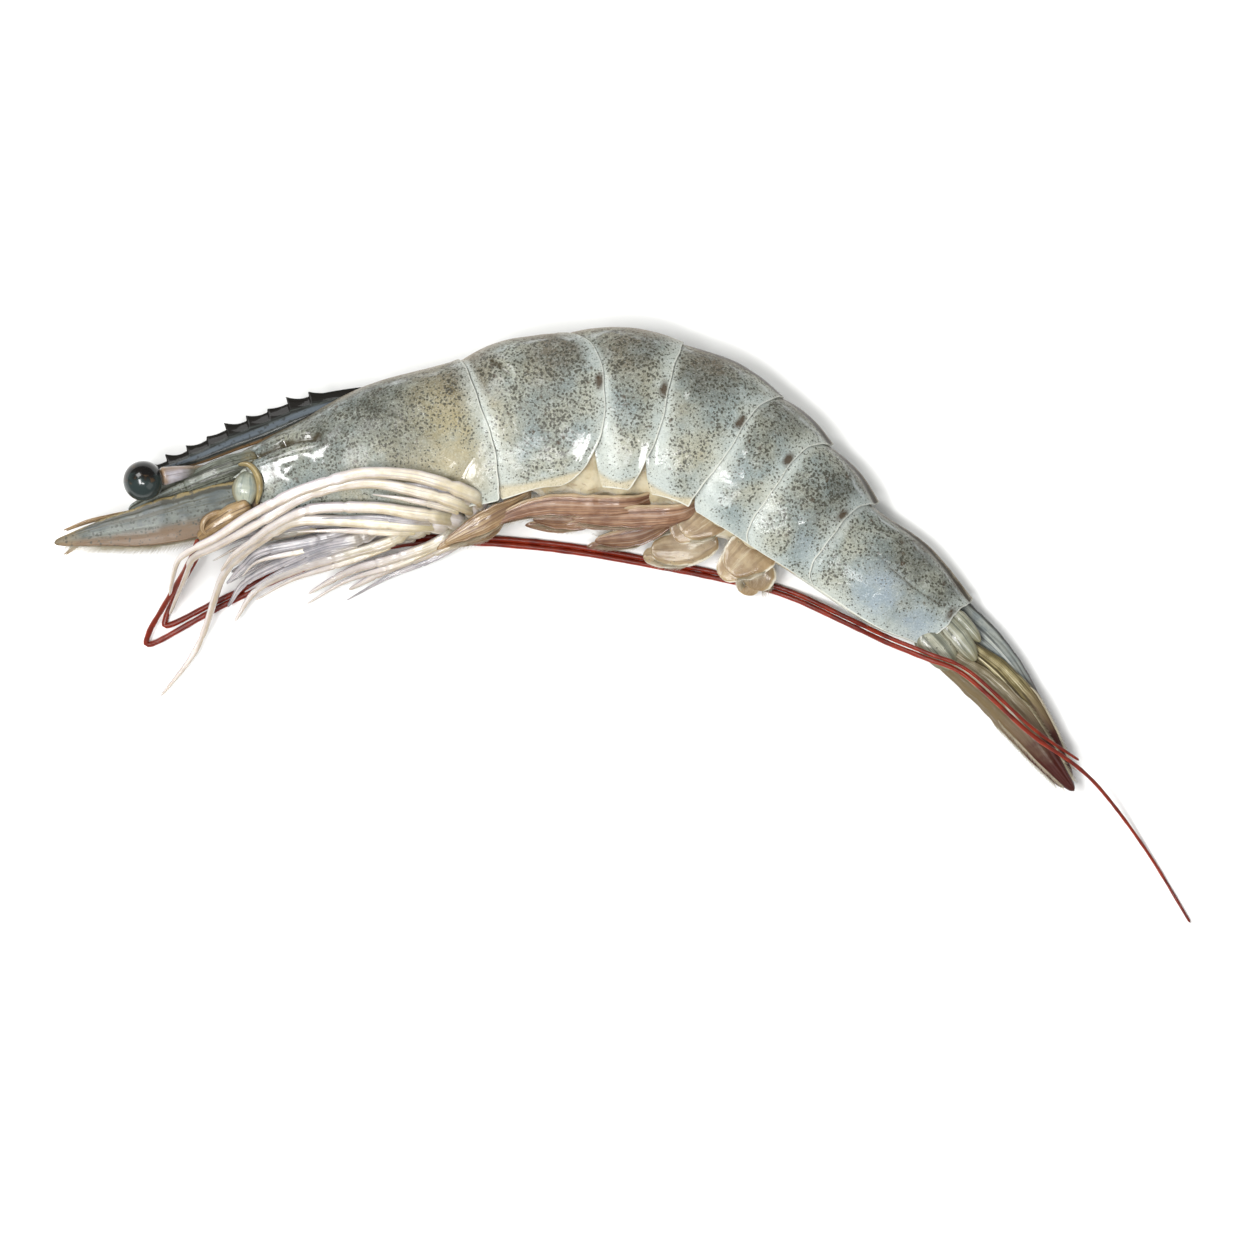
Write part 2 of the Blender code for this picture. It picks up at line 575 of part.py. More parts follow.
SHELL = material("raw_shell", "#8E9A98", 0.22)
MEAT = material("raw_meat", "#D9D3B4", 0.3)
EYE_BLACK = material("eye_black", "#17191A", 0.08)
STALK = material("eye_stalk", "#D8D2C2", 0.3)
SCALE = material("translucent_scale", "#8B8A78", 0.25)
LIMB = material("pale_limb", "#EAE6D6", 0.3)
SWIMMERET = material("swimmeret_skin", "#C9B7A4", 0.3)
TAIL = material("tail_blade", "#77766A", 0.25)
FEELER = material("red_feeler", "#7A2417", 0.3)

shrimp = bpy.data.objects.new("shrimp", None)
PARTS.objects.link(shrimp)
shrimp.location = (-BOX_MIDDLE[0] * MM, -BOX_MIDDLE[1] * MM, 0)

make_flesh(MEAT, shrimp)
make_carapace(SHELL, shrimp)
make_rings(SHELL, shrimp)
make_eyes(EYE_BLACK, STALK, shrimp)
make_head_limbs(SCALE, LIMB, shrimp)
make_feelers(FEELER, shrimp)
make_limbs(LIMB, SWIMMERET, shrimp)
make_tail_fan(TAIL, shrimp)
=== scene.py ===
"""The looks of a raw white-leg shrimp lying on its right side, seen from straight above.

Every form follows the body's centre line. A place on the body is given by three lengths: along the line from
the head, height from it towards the back, and side from it towards the shrimp's left, which faces up.
"""

import math

import bmesh
import bpy
import numpy as np
from mathutils import Matrix, Vector, noise


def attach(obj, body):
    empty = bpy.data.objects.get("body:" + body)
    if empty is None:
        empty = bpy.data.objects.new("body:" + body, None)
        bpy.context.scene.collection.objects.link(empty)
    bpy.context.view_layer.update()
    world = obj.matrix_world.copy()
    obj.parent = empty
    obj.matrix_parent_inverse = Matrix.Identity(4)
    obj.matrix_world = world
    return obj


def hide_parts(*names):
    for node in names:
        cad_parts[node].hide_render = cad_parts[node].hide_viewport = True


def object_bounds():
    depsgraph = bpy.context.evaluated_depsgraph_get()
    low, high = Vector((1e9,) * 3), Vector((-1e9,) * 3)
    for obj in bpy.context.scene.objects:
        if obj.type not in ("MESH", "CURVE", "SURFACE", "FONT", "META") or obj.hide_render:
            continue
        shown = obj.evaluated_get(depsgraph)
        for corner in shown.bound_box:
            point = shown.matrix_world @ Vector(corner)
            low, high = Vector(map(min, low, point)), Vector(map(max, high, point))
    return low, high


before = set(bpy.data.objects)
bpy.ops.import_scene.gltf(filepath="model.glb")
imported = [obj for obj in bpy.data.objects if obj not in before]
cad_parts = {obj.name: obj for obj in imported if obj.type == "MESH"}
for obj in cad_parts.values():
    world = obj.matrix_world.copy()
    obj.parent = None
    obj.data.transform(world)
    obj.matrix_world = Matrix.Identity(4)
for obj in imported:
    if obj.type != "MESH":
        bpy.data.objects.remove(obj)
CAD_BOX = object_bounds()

MM = 0.001

# The centre line of the body, in millimetres: the head first, then the arched abdomen and the tail fan.
CENTRE_LINE = (
    (-74.8, 6.2), (-63.8, 9.2), (-53.9, 12.3), (-45.3, 14.5), (-33.9, 16.5), (-20.2, 19.1), (-9.9, 21.8),
    (2.9, 22.7), (14.5, 20.0), (23.1, 14.5), (30.6, 8.1), (37.0, 2.0), (44.2, -3.7), (51.3, -9.2),
    (60.5, -19.4), (70.4, -33.9),
)
# Middle of the box round the whole shrimp, which the part's frame has as its origin.
BOX_MIDDLE = (3.64, -9.57)

# Outer size along the centre line: along, up to the back, down to the shell's lower edge, half width, and how
# high the centre line lies above the board.
PROFILE = (
    (14.0, 2.6, 3.4, 3.6, 8.5), (21.8, 3.9, 4.8, 5.2, 8.5), (30.7, 5.9, 7.3, 6.8, 8.5),
    (42.3, 9.5, 9.9, 7.9, 8.5), (56.2, 11.0, 11.0, 8.3, 8.5), (66.8, 11.7, 11.0, 8.3, 8.5),
    (79.7, 12.0, 12.0, 8.3, 8.5), (91.7, 10.9, 11.7, 7.9, 8.1), (101.9, 10.2, 11.0, 7.3, 7.5),
    (111.7, 8.9, 9.7, 6.5, 6.7), (120.6, 7.4, 7.9, 5.5, 5.7), (129.8, 7.0, 7.0, 4.9, 5.1),
    (138.8, 5.0, 4.9, 3.9, 4.15), (152.5, 3.6, 3.6, 3.0, 3.6), (170.1, 2.0, 2.0, 2.0, 2.2),
)

# Shell rings lie over each other as roof tiles do. HINGE is the share of the way from the back to the lower
# edge where two rings turn on each other, and each ring dips at its front margin, under the ring before it.
SHELL_THICKNESS = 0.2 * MM
RIM_ROUNDING = 0.1 * MM
TILE_RISE = 0.34 * MM
FRONT_DIP = 0.45 * MM
RIM_OVERLAP = 2.0 * MM
SUNK = 0.4 * MM
HINGE = 0.4
FRONT_LIFT = 0.7 * MM
FLOOR_GAP = 0.05 * MM
SIDE_TURN = math.radians(80)
TUCK_IN = 0.22
KEEL_SHARE = 0.05
# The rear margin wavers by a long and a short wave, and broad and small dents lie all over a plate.
MARGIN_WAVES = ((0.14 * MM, 14), (0.05 * MM, 41))
DENTS = ((7.0, 0.0, 0.16 * MM), (2.6, 5.0, 0.05 * MM))
SKIN_DEPTH = 0.32 * MM

CARAPACE_REAR = 59.6 * MM
# Front margin of the carapace from the back round to the lower edge: share of the way round, along.
CARAPACE_FRONT = (
    (0.0, 17.5), (0.14, 19.5), (0.3, 24.0), (0.4, 20.0), (0.52, 22.3), (0.75, 23.0), (0.9, 25.0), (1.0, 29.0)
)
CARAPACE_LAG = (-2.5, 1.8)
CARAPACE_CORNER = 4.0

# Rear margin of each ring at the hinge, how far it lags behind at the back and at the lower edge, how much
# its lower rear and front corners are rounded, and the height of the keel along its back.
RINGS = (
    ("shell_1", 77.2, -7.4, -1.0, 9.0, 1.5, 0.0),
    ("shell_2", 85.9, 0.3, -0.5, 4.0, 3.0, 0.0),
    ("shell_3", 97.0, 2.6, 1.6, 2.2, 5.0, 0.0),
    ("shell_4", 105.6, 3.4, 5.0, 2.4, 4.5, 0.4),
    ("shell_5", 116.8, 2.6, 4.5, 1.6, 4.0, 0.7),
    ("shell_6", 138.6, 0.4, 0.4, 2.5, 2.0, 0.8),
)

# The meat fills the shells from behind the eyes to the tail, well inside them, and its belly hangs a little
# below their lower edges: along, how far.
MEAT_START, MEAT_END = 19.0 * MM, 137.5 * MM
MEAT_INSIDE = 1.6 * MM
BELLY_DEPTH = ((58.0, -2.2), (66.0, 1.5), (108.0, 1.3), (122.0, -1.2))
BELLY_SEGMENT = 7.2 * MM

HEAD_REST = 8.5
EYE = (-67.4, 11.9)
EYE_SPREAD = 5.5
EYE_RADIUS = 2.95

# The toothed blade on the carapace: its upper and lower edges, from the crest to the point.
ROSTRUM_TOP = (
    (-31.0, 25.9), (-36.0, 25.9), (-43.6, 24.5), (-50.8, 21.7), (-56.1, 19.4), (-63.8, 15.3), (-70.0, 12.8),
)
ROSTRUM_UNDER = (
    (-31.0, 24.6), (-36.0, 23.4), (-43.6, 20.7), (-49.9, 18.0), (-53.9, 16.6), (-59.4, 14.6), (-64.5, 13.4),
    (-70.0, 12.6),
)
TEETH = 9
TOOTH_PITCH = 3.3
TOOTH_HEIGHT = 0.85
POINT_LENGTH = 2.0

# Soft spots of colour seen from the side, the same on both flanks: x, y, radius in millimetres, strength.
SPOTS = {
    "olive": (
        (-23.5, 21.5, 7.5, 1.0), (-17.0, 17.5, 4.5, 0.5), (-30.0, 17.5, 4.0, 0.4), (-46.0, 17.5, 4.0, 0.5),
        (2.0, 17.0, 4.0, 0.35), (14.5, 14.5, 4.0, 0.5), (24.0, 9.5, 3.0, 0.4), (-9.5, 26.5, 4.0, 0.35),
        (6.5, 25.0, 3.5, 0.3),
    ),
    "dusk": (
        (-33.5, 23.5, 7.0, 1.0), (-40.5, 19.5, 5.5, 0.9), (-48.5, 16.5, 4.5, 0.8), (-29.0, 19.0, 6.0, 0.6),
        (-8.5, 22.5, 7.0, 0.45), (3.0, 25.0, 7.0, 0.4), (14.0, 26.0, 7.0, 0.5), (24.5, 19.5, 6.5, 0.5),
        (34.0, 9.0, 6.5, 0.7), (45.0, 0.5, 7.0, 0.75), (51.5, -4.5, 4.0, 0.8),
    ),
    "stain": (
        (-20.5, 28.2, 5.5, 0.95), (-26.0, 27.0, 4.5, 0.5), (-7.0, 31.5, 5.5, 0.9), (4.0, 32.5, 6.0, 0.8),
        (16.5, 29.8, 5.5, 0.85), (27.0, 22.5, 4.0, 0.5), (36.0, 12.0, 3.0, 0.4), (47.0, 1.5, 3.5, 0.4),
    ),
    "pale": (
        (-21.0, 13.5, 5.5, 1.0), (-27.5, 11.5, 5.5, 1.0), (-36.0, 11.0, 5.0, 0.6), (-14.5, 13.5, 3.0, 0.7),
        (-2.5, 12.5, 3.5, 0.4), (-16.0, 23.0, 2.5, 0.5), (11.5, 22.0, 3.0, 0.5), (-14.0, 18.5, 3.0, 0.5),
        (20.0, 10.0, 2.5, 0.3), (0.5, 19.5, 2.5, 0.3),
    ),
    "clear": (
        (40.5, -4.5, 4.5, 1.0), (46.5, -10.0, 4.0, 1.0), (30.0, 2.0, 3.0, 0.4), (24.0, 6.0, 2.5, 0.3),
    ),
    "wet": (
        (-45.0, 14.0, 7.0, 1.0), (-49.5, 11.5, 2.5, 1.0), (-20.0, 14.0, 2.6, 0.8), (-15.5, 12.0, 2.4, 0.8),
        (13.4, 25.2, 2.6, 0.9), (-2.4, 16.5, 2.6, 0.8), (6.4, 15.4, 2.4, 0.8), (-15.0, 29.0, 2.4, 0.9),
        (19.4, 13.2, 2.4, 0.8), (22.4, 16.8, 2.2, 0.8), (30.6, 6.6, 2.2, 0.8), (51.0, -11.5, 1.8, 0.9),
    ),
}

# Ridges and grooves of a plate seen from the side: both ends, half width, height, how dark the groove is.
RELIEF = {
    "carapace": (
        ((-56.0, 14.4), (-50.6, 15.8), 0.4, -0.3, 0.6), ((-50.6, 15.8), (-46.6, 17.6), 0.4, -0.4, 0.9),
        ((-46.6, 17.6), (-42.2, 18.5), 0.55, -0.45, 1.0), ((-42.6, 18.4), (-41.8, 18.6), 0.8, -0.2, 0.9),
        ((-55.6, 15.4), (-44.0, 19.4), 0.6, 0.2, 0.0), ((-47.4, 12.6), (-42.4, 15.6), 3.6, -0.65, 0.0),
        ((-46.4, 13.4), (-44.4, 14.4), 0.8, -0.12, 0.0),
        ((-40.5, 15.5), (-37.0, 21.0), 1.1, -0.22, 0.0), ((-20.5, 12.0), (-17.8, 20.0), 1.5, -0.3, 0.0),
        ((-22.5, 12.6), (-19.6, 15.6), 0.7, 0.3, 0.0), ((-37.0, 12.5), (-24.0, 13.0), 1.2, 0.25, 0.0),
    ),
    "shell_1": (
        ((-16.2, 29.6), (-13.6, 27.6), 0.4, -0.25, 0.8), ((-16.6, 30.2), (-13.0, 28.6), 0.5, 0.25, 0.0),
        ((-3.2, 14.5), (-1.4, 18.5), 0.5, 0.22, 0.0),
    ),
    "shell_2": (((5.8, 13.4), (7.0, 17.4), 0.5, 0.22, 0.0), ((2.0, 22.8), (3.6, 23.6), 0.5, 0.2, 0.0)),
    "shell_3": (((12.8, 24.2), (13.8, 26.6), 0.5, 0.3, 0.0), ((18.6, 11.6), (20.0, 14.6), 0.5, 0.22, 0.0)),
    "shell_4": (((21.4, 16.2), (23.4, 17.4), 0.6, 0.25, 0.0),),
    "shell_5": (((29.8, 5.6), (31.4, 7.6), 0.6, 0.22, 0.0),),
    "shell_6": (
        ((38.9, 3.1), (42.6, -0.9), 0.22, -0.18, 0.5), ((42.6, -0.9), (45.8, -3.6), 0.22, -0.2, 0.7),
        ((45.8, -3.6), (50.1, -6.3), 0.22, -0.2, 0.7), ((50.1, -6.3), (52.7, -7.3), 0.22, -0.18, 0.6),
    ),
}
# Where the stiff plate of a ring ends above the soft cream skin of its lower edge, as a share of the way
# round. The other plates have none, so theirs would lie past the edge.
SKIN_FOLD = {"shell_1": 0.87, "shell_2": 0.88, "shell_3": 0.91}
NO_FOLD = 1.3
# A dark line runs along the back of these rings, a little to the side that shows.
DARK_RIDGES = ("shell_3", "shell_4", "shell_5", "shell_6")
DARK_LINE = 0.045

# Directions in which a limb's or a blade's breadth lies: across the head, or across the curled abdomen.
ACROSS = (0.0, 1.0, 0.0)
ALONG_AND_ACROSS = (1.0, 1.0, 0.0)
LEAF_BREADTH = (1.0, -1.0, 0.0)
FEELER_BREADTH = (0.3, 0.2, 1.0)

# The feelers run down from the head, turn back sharply on the board and trail past the tail.
FEELERS = {
    "antenna_left": (
        (-59.4, 3.4, 13.2), (-60.8, 0.4, 10.6), (-63.0, -3.0, 6.8), (-65.6, -6.8, 3.6), (-67.9, -10.6, 1.4),
        (-67.2, -12.0, 0.7), (-56.9, -6.4, 0.55), (-44.0, -0.6, 0.55), (-30.4, 2.7, 0.55), (-19.3, 3.0, 0.55),
        (-7.0, 2.0, 0.55), (4.4, 0.2, 0.55), (17.6, -2.4, 0.55), (27.1, -4.8, 1.0), (36.5, -9.1, 3.6),
        (42.0, -11.8, 7.0), (47.8, -14.2, 9.6), (53.7, -16.8, 10.2), (63.1, -25.2, 9.0), (70.6, -30.4, 6.4),
        (75.6, -35.4, 3.4), (82.0, -44.0, 0.8), (88.0, -53.9, 0.5),
    ),
    "antenna_right": (
        (-59.4, 3.4, 4.0), (-60.9, 0.2, 2.8), (-63.4, -4.0, 1.4), (-65.4, -8.2, 0.6), (-64.6, -9.2, 0.5),
        (-56.6, -5.2, 0.5), (-44.2, 0.2, 0.5), (-30.6, 3.5, 0.5), (-19.3, 3.8, 0.5), (-6.9, 2.85, 0.5),
        (4.6, 1.0, 0.5), (17.8, -1.6, 0.5), (27.4, -4.0, 0.9), (36.8, -8.35, 3.6),
        (42.3, -11.05, 7.2), (48.1, -13.45, 9.8), (54.3, -16.2, 10.2), (63.5, -24.4, 8.9), (70.8, -29.4, 6.3),
    ),
}
FEELER_WIDTHS = (0.8, 0.9, 0.84, 0.7, 0.42)

# Limbs of the head on both sides, by the distance of each point from the middle plane: the eyestalk, the
# antennal scale, the antennule and how its two whips part, and the pieces at the root of the long feeler,
# with their widths, thicknesses, the direction of their breadth and how long their rounded ends are.
HANDS = (("left", 1), ("right", -1))
STALK_ROUTE = ((-57.6, 14.0, 1.9), (-61.6, 13.2, 3.6), (-65.0, 12.5, 4.9))
SCALE_ROUTE = (
    (-50.4, 10.4, 3.4), (-56.0, 8.2, 3.7), (-66.2, 5.6, 3.6), (-73.9, 4.2, 3.0), (-80.9, 2.8, 2.2),
)
SCALE_WIDTHS = (4.6, 6.6, 7.0, 6.6, 5.0, 3.0, 0.8)
ANTENNULE_ROUTE = (
    (-50.6, 15.2, 2.9), (-55.6, 13.6, 3.4), (-60.8, 11.5, 3.0), (-65.8, 9.4, 2.2), (-70.0, 7.4, 1.3),
)
WHIP_SPREADS = ((1.0, 0.7), (-1.4, 0.1))
FEELER_ROOTS = {
    "base": (
        ((-51.6, 8.2, 5.0), (-54.6, 6.8, 5.2), (-57.6, 4.9, 5.0), (-59.4, 3.4, 4.6)),
        (2.8, 3.2, 2.4, 1.4), (2.2, 2.2, 1.8, 1.2), ACROSS, 0.08,
    ),
    "curl": (
        ((-54.2, 6.9, 5.2), (-56.4, 7.2, 5.5), (-58.2, 6.3, 5.6), (-58.7, 4.8, 5.5), (-57.8, 3.7, 5.3)),
        (0.4, 0.9, 0.9, 0.4), (0.6, 1.0, 1.0, 0.5), (0.0, 0.0, 1.0), 0.08,
    ),
    "knob": (
        ((-52.2, 13.4, 4.2), (-52.5, 10.7, 5.0), (-52.7, 7.9, 4.5)),
        (3.2, 4.0, 3.2), (1.4, 1.7, 1.4), (1.0, 0.0, 0.0), 0.5,
    ),
    "collar": (
        ((-53.6, 14.3, 4.5), (-52.0, 14.3, 4.8), (-50.8, 13.0, 5.0), (-50.3, 11.0, 5.1), (-50.8, 8.4, 4.8)),
        (0.5, 0.9, 1.2, 1.0, 0.5), (0.6, 1.0, 1.3, 0.8), ALONG_AND_ACROSS, 0.08,
    ),
}

# Walking legs, first pair to fifth, and the feeding limbs before them: places of their joints over the board.
LEGS = {
    "maxilliped_left": (
        (-35.4, 5.2, 10.2), (-39.6, 3.8, 11.2), (-43.7, 2.9, 10.8), (-50.3, 1.6, 9.9),
        (-53.0, -0.5, 9.0), (-55.7, -3.2, 7.6),
    ),
    "leg_1_left": (
        (-32.4, 6.0, 10.2), (-35.6, 3.6, 11.6), (-41.0, 2.4, 10.8), (-47.0, 0.2, 8.4),
        (-53.0, -2.8, 4.6), (-56.0, -6.6, 2.0),
    ),
    "leg_2_left": (
        (-24.0, 5.6, 11.2), (-27.0, 5.3, 14.0), (-30.7, 5.5, 14.9), (-38.3, 6.0, 14.9),
        (-44.6, 6.0, 14.4), (-48.4, 4.3, 13.2), (-52.8, 1.4, 11.0), (-56.3, -2.2, 7.6),
        (-59.5, -10.3, 2.4), (-61.9, -14.6, 1.2), (-66.2, -20.0, 0.8),
    ),
    "leg_3_left": (
        (-21.8, 6.2, 11.2), (-24.6, 6.7, 15.0), (-28.2, 7.2, 16.0), (-33.2, 7.9, 16.4),
        (-40.8, 7.9, 16.1), (-44.6, 7.1, 15.6), (-48.4, 5.2, 14.8), (-50.9, 3.4, 13.9),
        (-54.3, 1.0, 12.0), (-56.4, -1.4, 9.8),
    ),
    "leg_4_left": (
        (-19.0, 7.6, 11.4), (-20.6, 8.2, 15.8), (-23.1, 9.2, 17.4), (-28.2, 10.5, 18.2),
        (-33.2, 11.4, 18.4), (-38.3, 11.0, 18.2), (-43.3, 9.5, 17.6), (-46.4, 7.9, 17.0),
        (-50.9, 5.3, 16.0), (-56.5, 2.4, 13.9), (-60.2, 0.6, 11.6), (-61.8, -2.2, 8.4),
        (-64.8, -7.9, 1.6),
    ),
    "leg_5_left": (
        (-18.0, 8.8, 12.0), (-18.8, 9.6, 16.2), (-23.1, 11.3, 18.4), (-28.2, 12.6, 19.2),
        (-34.3, 12.9, 19.3), (-38.3, 12.1, 19.2), (-43.3, 10.6, 18.6), (-46.4, 9.3, 18.1),
        (-51.7, 6.6, 17.0), (-56.5, 3.6, 15.4), (-60.8, 1.5, 13.4), (-62.6, 0.0, 11.6),
        (-63.6, -2.6, 9.2), (-64.2, -5.0, 7.4),
    ),
    "maxilliped_right": (
        (-37.0, 6.4, 7.4), (-42.0, 6.0, 6.6), (-48.4, 5.0, 6.4), (-53.4, 3.8, 6.6), (-57.6, 1.8, 6.4),
    ),
    "leg_1_right": (
        (-32.4, 6.0, 6.8), (-37.0, 4.2, 5.4), (-43.6, 3.4, 4.4), (-50.0, 1.4, 3.6), (-55.4, -1.4, 3.0),
    ),
    "leg_2_right": (
        (-27.4, 6.6, 6.4), (-31.0, 3.4, 6.4), (-38.0, 1.2, 5.4), (-45.6, -1.0, 4.0), (-51.6, -4.0, 2.6),
        (-55.0, -8.8, 1.8),
    ),
    "leg_3_right": (
        (-24.4, 7.0, 6.2), (-27.4, 4.6, 3.4), (-34.0, 3.8, 2.6), (-42.0, 2.0, 2.2), (-49.0, -0.6, 1.9),
    ),
    "leg_4_right": (
        (-21.6, 7.6, 5.8), (-23.6, 3.6, 5.6), (-30.0, 1.0, 4.4), (-37.6, -1.2, 3.0), (-44.0, -4.6, 1.8),
    ),
    "leg_5_right": (
        (-19.2, 8.4, 5.6), (-19.2, 4.8, 4.0), (-24.6, 2.0, 2.8), (-31.4, -0.6, 2.2), (-38.0, -4.0, 0.9),
    ),
}
LEG_WIDTHS = (2.2, 2.0, 1.7, 1.6, 1.5, 1.3, 1.0, 0.4)
LEG_FLATNESS = 0.72
# Where segments meet, as shares of a limb's length.
LEG_JOINTS = (0.14, 0.44, 0.58, 0.82)
FEEDING_JOINTS = (0.3, 0.62)

# Swimmerets, first pair to fifth, folded forward under the belly, the last ones spread as leaves.
SWIMMERETS = {
    "swimmeret_1_left": ((-10.6, 10.6, 11.6), (-14.2, 8.0, 12.6), (-18.4, 5.2, 12.8), (-23.2, 2.6, 12.2)),
    "swimmeret_2_left": (
        (8.2, 10.6, 10.6), (4.0, 8.6, 12.0), (-1.4, 8.3, 12.4), (-7.6, 8.4, 12.6), (-12.4, 7.4, 12.6),
        (-16.4, 5.4, 12.4),
    ),
    "swimmeret_3_left": (
        (15.6, 9.6, 10.4), (10.8, 7.2, 11.8), (5.8, 6.7, 12.0), (0.4, 6.5, 12.0), (-4.4, 6.3, 11.8),
    ),
    "swimmeret_4_left": ((18.6, 9.6, 10.2), (15.4, 7.2, 11.0), (11.6, 4.4, 10.8)),
    "swimmeret_5_left": ((25.4, 4.6, 9.2), (22.4, 1.8, 9.8), (18.6, -1.4, 9.6)),
    "swimmeret_1_right": ((-12.0, 9.8, 6.0), (-16.4, 5.6, 7.0), (-21.8, 3.2, 7.8)),
    "swimmeret_2_right": ((3.0, 9.0, 5.4), (-2.8, 6.6, 4.8), (-10.4, 6.4, 4.4)),
    "swimmeret_3_right": ((11.4, 6.8, 5.2), (5.8, 4.2, 4.4), (-1.2, 3.2, 4.0)),
    "swimmeret_4_right": ((17.0, 4.0, 4.8), (12.6, 2.2, 4.0), (7.2, 1.8, 3.6)),
    "swimmeret_5_right": ((23.8, 0.2, 4.6), (23.2, -1.6, 4.4), (22.4, -4.0, 3.8)),
}
SWIMMERET_THICKNESSES = (1.3, 0.9, 0.6, 0.5)
# Widths, direction of the breadth, share of the thickness, roughness and ribs of a folded one and of a leaf.
STALK_SHAPE = ((2.0, 2.8, 3.2, 3.2, 2.4, 0.8), ALONG_AND_ACROSS, 1.0, 0.14, 6)
LEAF_SHAPE = ((4.6, 6.6, 7.4, 7.2, 6.2, 3.2), LEAF_BREADTH, 0.32, 0.03, 3)
RIGHT_LEAF_SIZE = 0.75
LEAF_PAIRS = ("4", "5")

# Tail fan, folded shut: along, height and side of each blade's root, middle and tip, its widths and its
# thickness.
INNER_WIDTHS = (2.8, 4.6, 4.8, 3.4, 1.0)
OUTER_WIDTHS = (3.2, 4.6, 5.0, 3.6, 1.2)
TAIL_FAN = {
    "telson": (((137.4, 2.4, 0.0), (149.0, 2.9, 0.0), (162.5, 2.2, 0.0)), (4.6, 4.2, 3.2, 2.0, 0.5), 1.7),
    "uropod_inner_left": (((141.8, -0.6, 1.9), (154.0, 0.8, 1.6), (168.4, 0.7, 0.9)), INNER_WIDTHS, 0.7),
    "uropod_inner_right": (((141.8, -0.6, -1.9), (154.0, 0.4, -1.5), (166.8, 0.2, -0.6)), INNER_WIDTHS, 0.7),
    "uropod_outer_left": (((141.4, -3.8, 3.0), (153.5, -1.6, 2.7), (170.6, -0.2, 2.2)), OUTER_WIDTHS, 0.8),
    "uropod_outer_right": (
        ((141.4, -3.8, -2.8), (153.5, -2.0, -2.5), (169.2, -0.8, -1.6)), OUTER_WIDTHS, 0.8),
}
# Rounded lobes at the root of the tail blades, on the left: along and height of both ends, width.
TAIL_KNOBS = (
    ((136.0, -3.2), (144.4, -4.0), 4.6), ((136.8, 0.2), (145.6, -0.8), 3.6),
    ((137.6, 2.0), (144.0, 1.6), 2.2),
)

# Hairs of the fringes, whose lengths vary by a rule.
HAIR_WIDTH = 0.13
GOLDEN_SHARE = 0.618

# Softboxes: place and size in metres, power in watts. The world lights the shrimp evenly besides.
LIGHTS = (
    ("key_softbox", (-0.34, 0.42, 0.62), (0.3, 0.3), 3.0),
    ("top_softbox", (-0.02, -0.16, 0.61), (0.14, 0.08), 1.1),
    ("head_softbox", (-0.2, -0.05, 0.58), (0.28, 0.12), 3.0),
    ("fill_softbox", (0.5, -0.4, 0.5), (0.5, 0.5), 1.0),
)
LIGHT_TARGET = (0.0, 0.0, 0.01)
WORLD_STRENGTH = 0.32
FLOOR_HALF = 1.5

# The camera: its lens in millimetres, and the share of the frame that the shrimp takes.
LENS = 135
FRAME_SHARE = 0.9


def smooth_line(points, steps=24):
    """A Catmull-Rom curve through points of any number of dimensions, with that many rows for each span."""
    given = np.array(points, float)
    ends = np.vstack([2 * given[0] - given[1], given, 2 * given[-1] - given[-2]])
    t = np.arange(steps)[:, None] / steps
    spans = [
        0.5 * (2 * start + (end - before) * t + (2 * before - 5 * start + 4 * end - after) * t**2
               + (3 * start - before - 3 * end + after) * t**3)
        for before, start, end, after in zip(ends, ends[1:], ends[2:], ends[3:])
    ]
    return np.vstack([*spans, given[-1:]])


def lengths_along(line):
    return np.concatenate([[0], np.cumsum(np.linalg.norm(np.diff(line, axis=0), axis=1))])


def rows_at(at, lengths, rows):
    """Rows of a line's table at those lengths along it."""
    return np.stack([np.interp(at, lengths, column) for column in rows.T], axis=-1)


def unit(rows):
    return rows / np.maximum(np.linalg.norm(rows, axis=-1, keepdims=True), 1e-12)


def dome(share):
    """How full a rounded end is at that share of its depth: 0 at its pole, 1 where the rounding is over."""
    return np.sqrt(1 - (1 - np.clip(share, 0, 1)) ** 2)


def hump(x, width):
    """A soft bump of height 1 round zero."""
    return np.exp(-((x / width) ** 2))


BODY = smooth_line(CENTRE_LINE) * MM
BODY_LENGTHS = lengths_along(BODY)
BODY_HEADINGS = np.gradient(BODY, BODY_LENGTHS, axis=0)
SIZES = smooth_line(PROFILE) * MM


def size_at(along):
    """Back height, lower-edge depth, half width and rest height of the shell at those lengths."""
    return [np.interp(along, SIZES[:, 0], SIZES[:, column]) for column in (1, 2, 3, 4)]


def on_body(along, height, side):
    """Points in space for places on the body."""
    along, height, side = np.broadcast_arrays(along, height, side)
    centre = rows_at(along, BODY_LENGTHS, BODY)
    heading = unit(rows_at(along, BODY_LENGTHS, BODY_HEADINGS))
    across = np.stack([-heading[..., 1], heading[..., 0]], axis=-1)
    flat = centre + across * height[..., None]
    return np.concatenate([flat, (size_at(along)[3] + side)[..., None]], axis=-1)


def corner(way):
    """How far the rounding of a shell's lower corner has come, from 0 at its side to 1 at its lower edge."""
    return 1 - np.cos(np.maximum(0, 2 * way - 1) * SIDE_TURN)


def lag(way, at_back, at_edge):
    """How far a margin falls behind its hinge, towards the back or the lower edge."""
    way = np.hypot(way, 0.05)
    behind_back = at_back * (1 - way / HINGE) ** 2
    behind_edge = at_edge * ((way - HINGE) / (1 - HINGE)) ** 2
    return np.where(way < HINGE, behind_back, behind_edge)


def spots(points, places):
    """How strongly soft round spots colour each point, from 0 to 1, seen from the side."""
    total = np.zeros(points.shape[:-1])
    for x, y, radius, strength in places:
        away = np.hypot(points[..., 0] / MM - x, points[..., 1] / MM - y)
        total = np.maximum(total, strength * hump(away, radius))
    return total


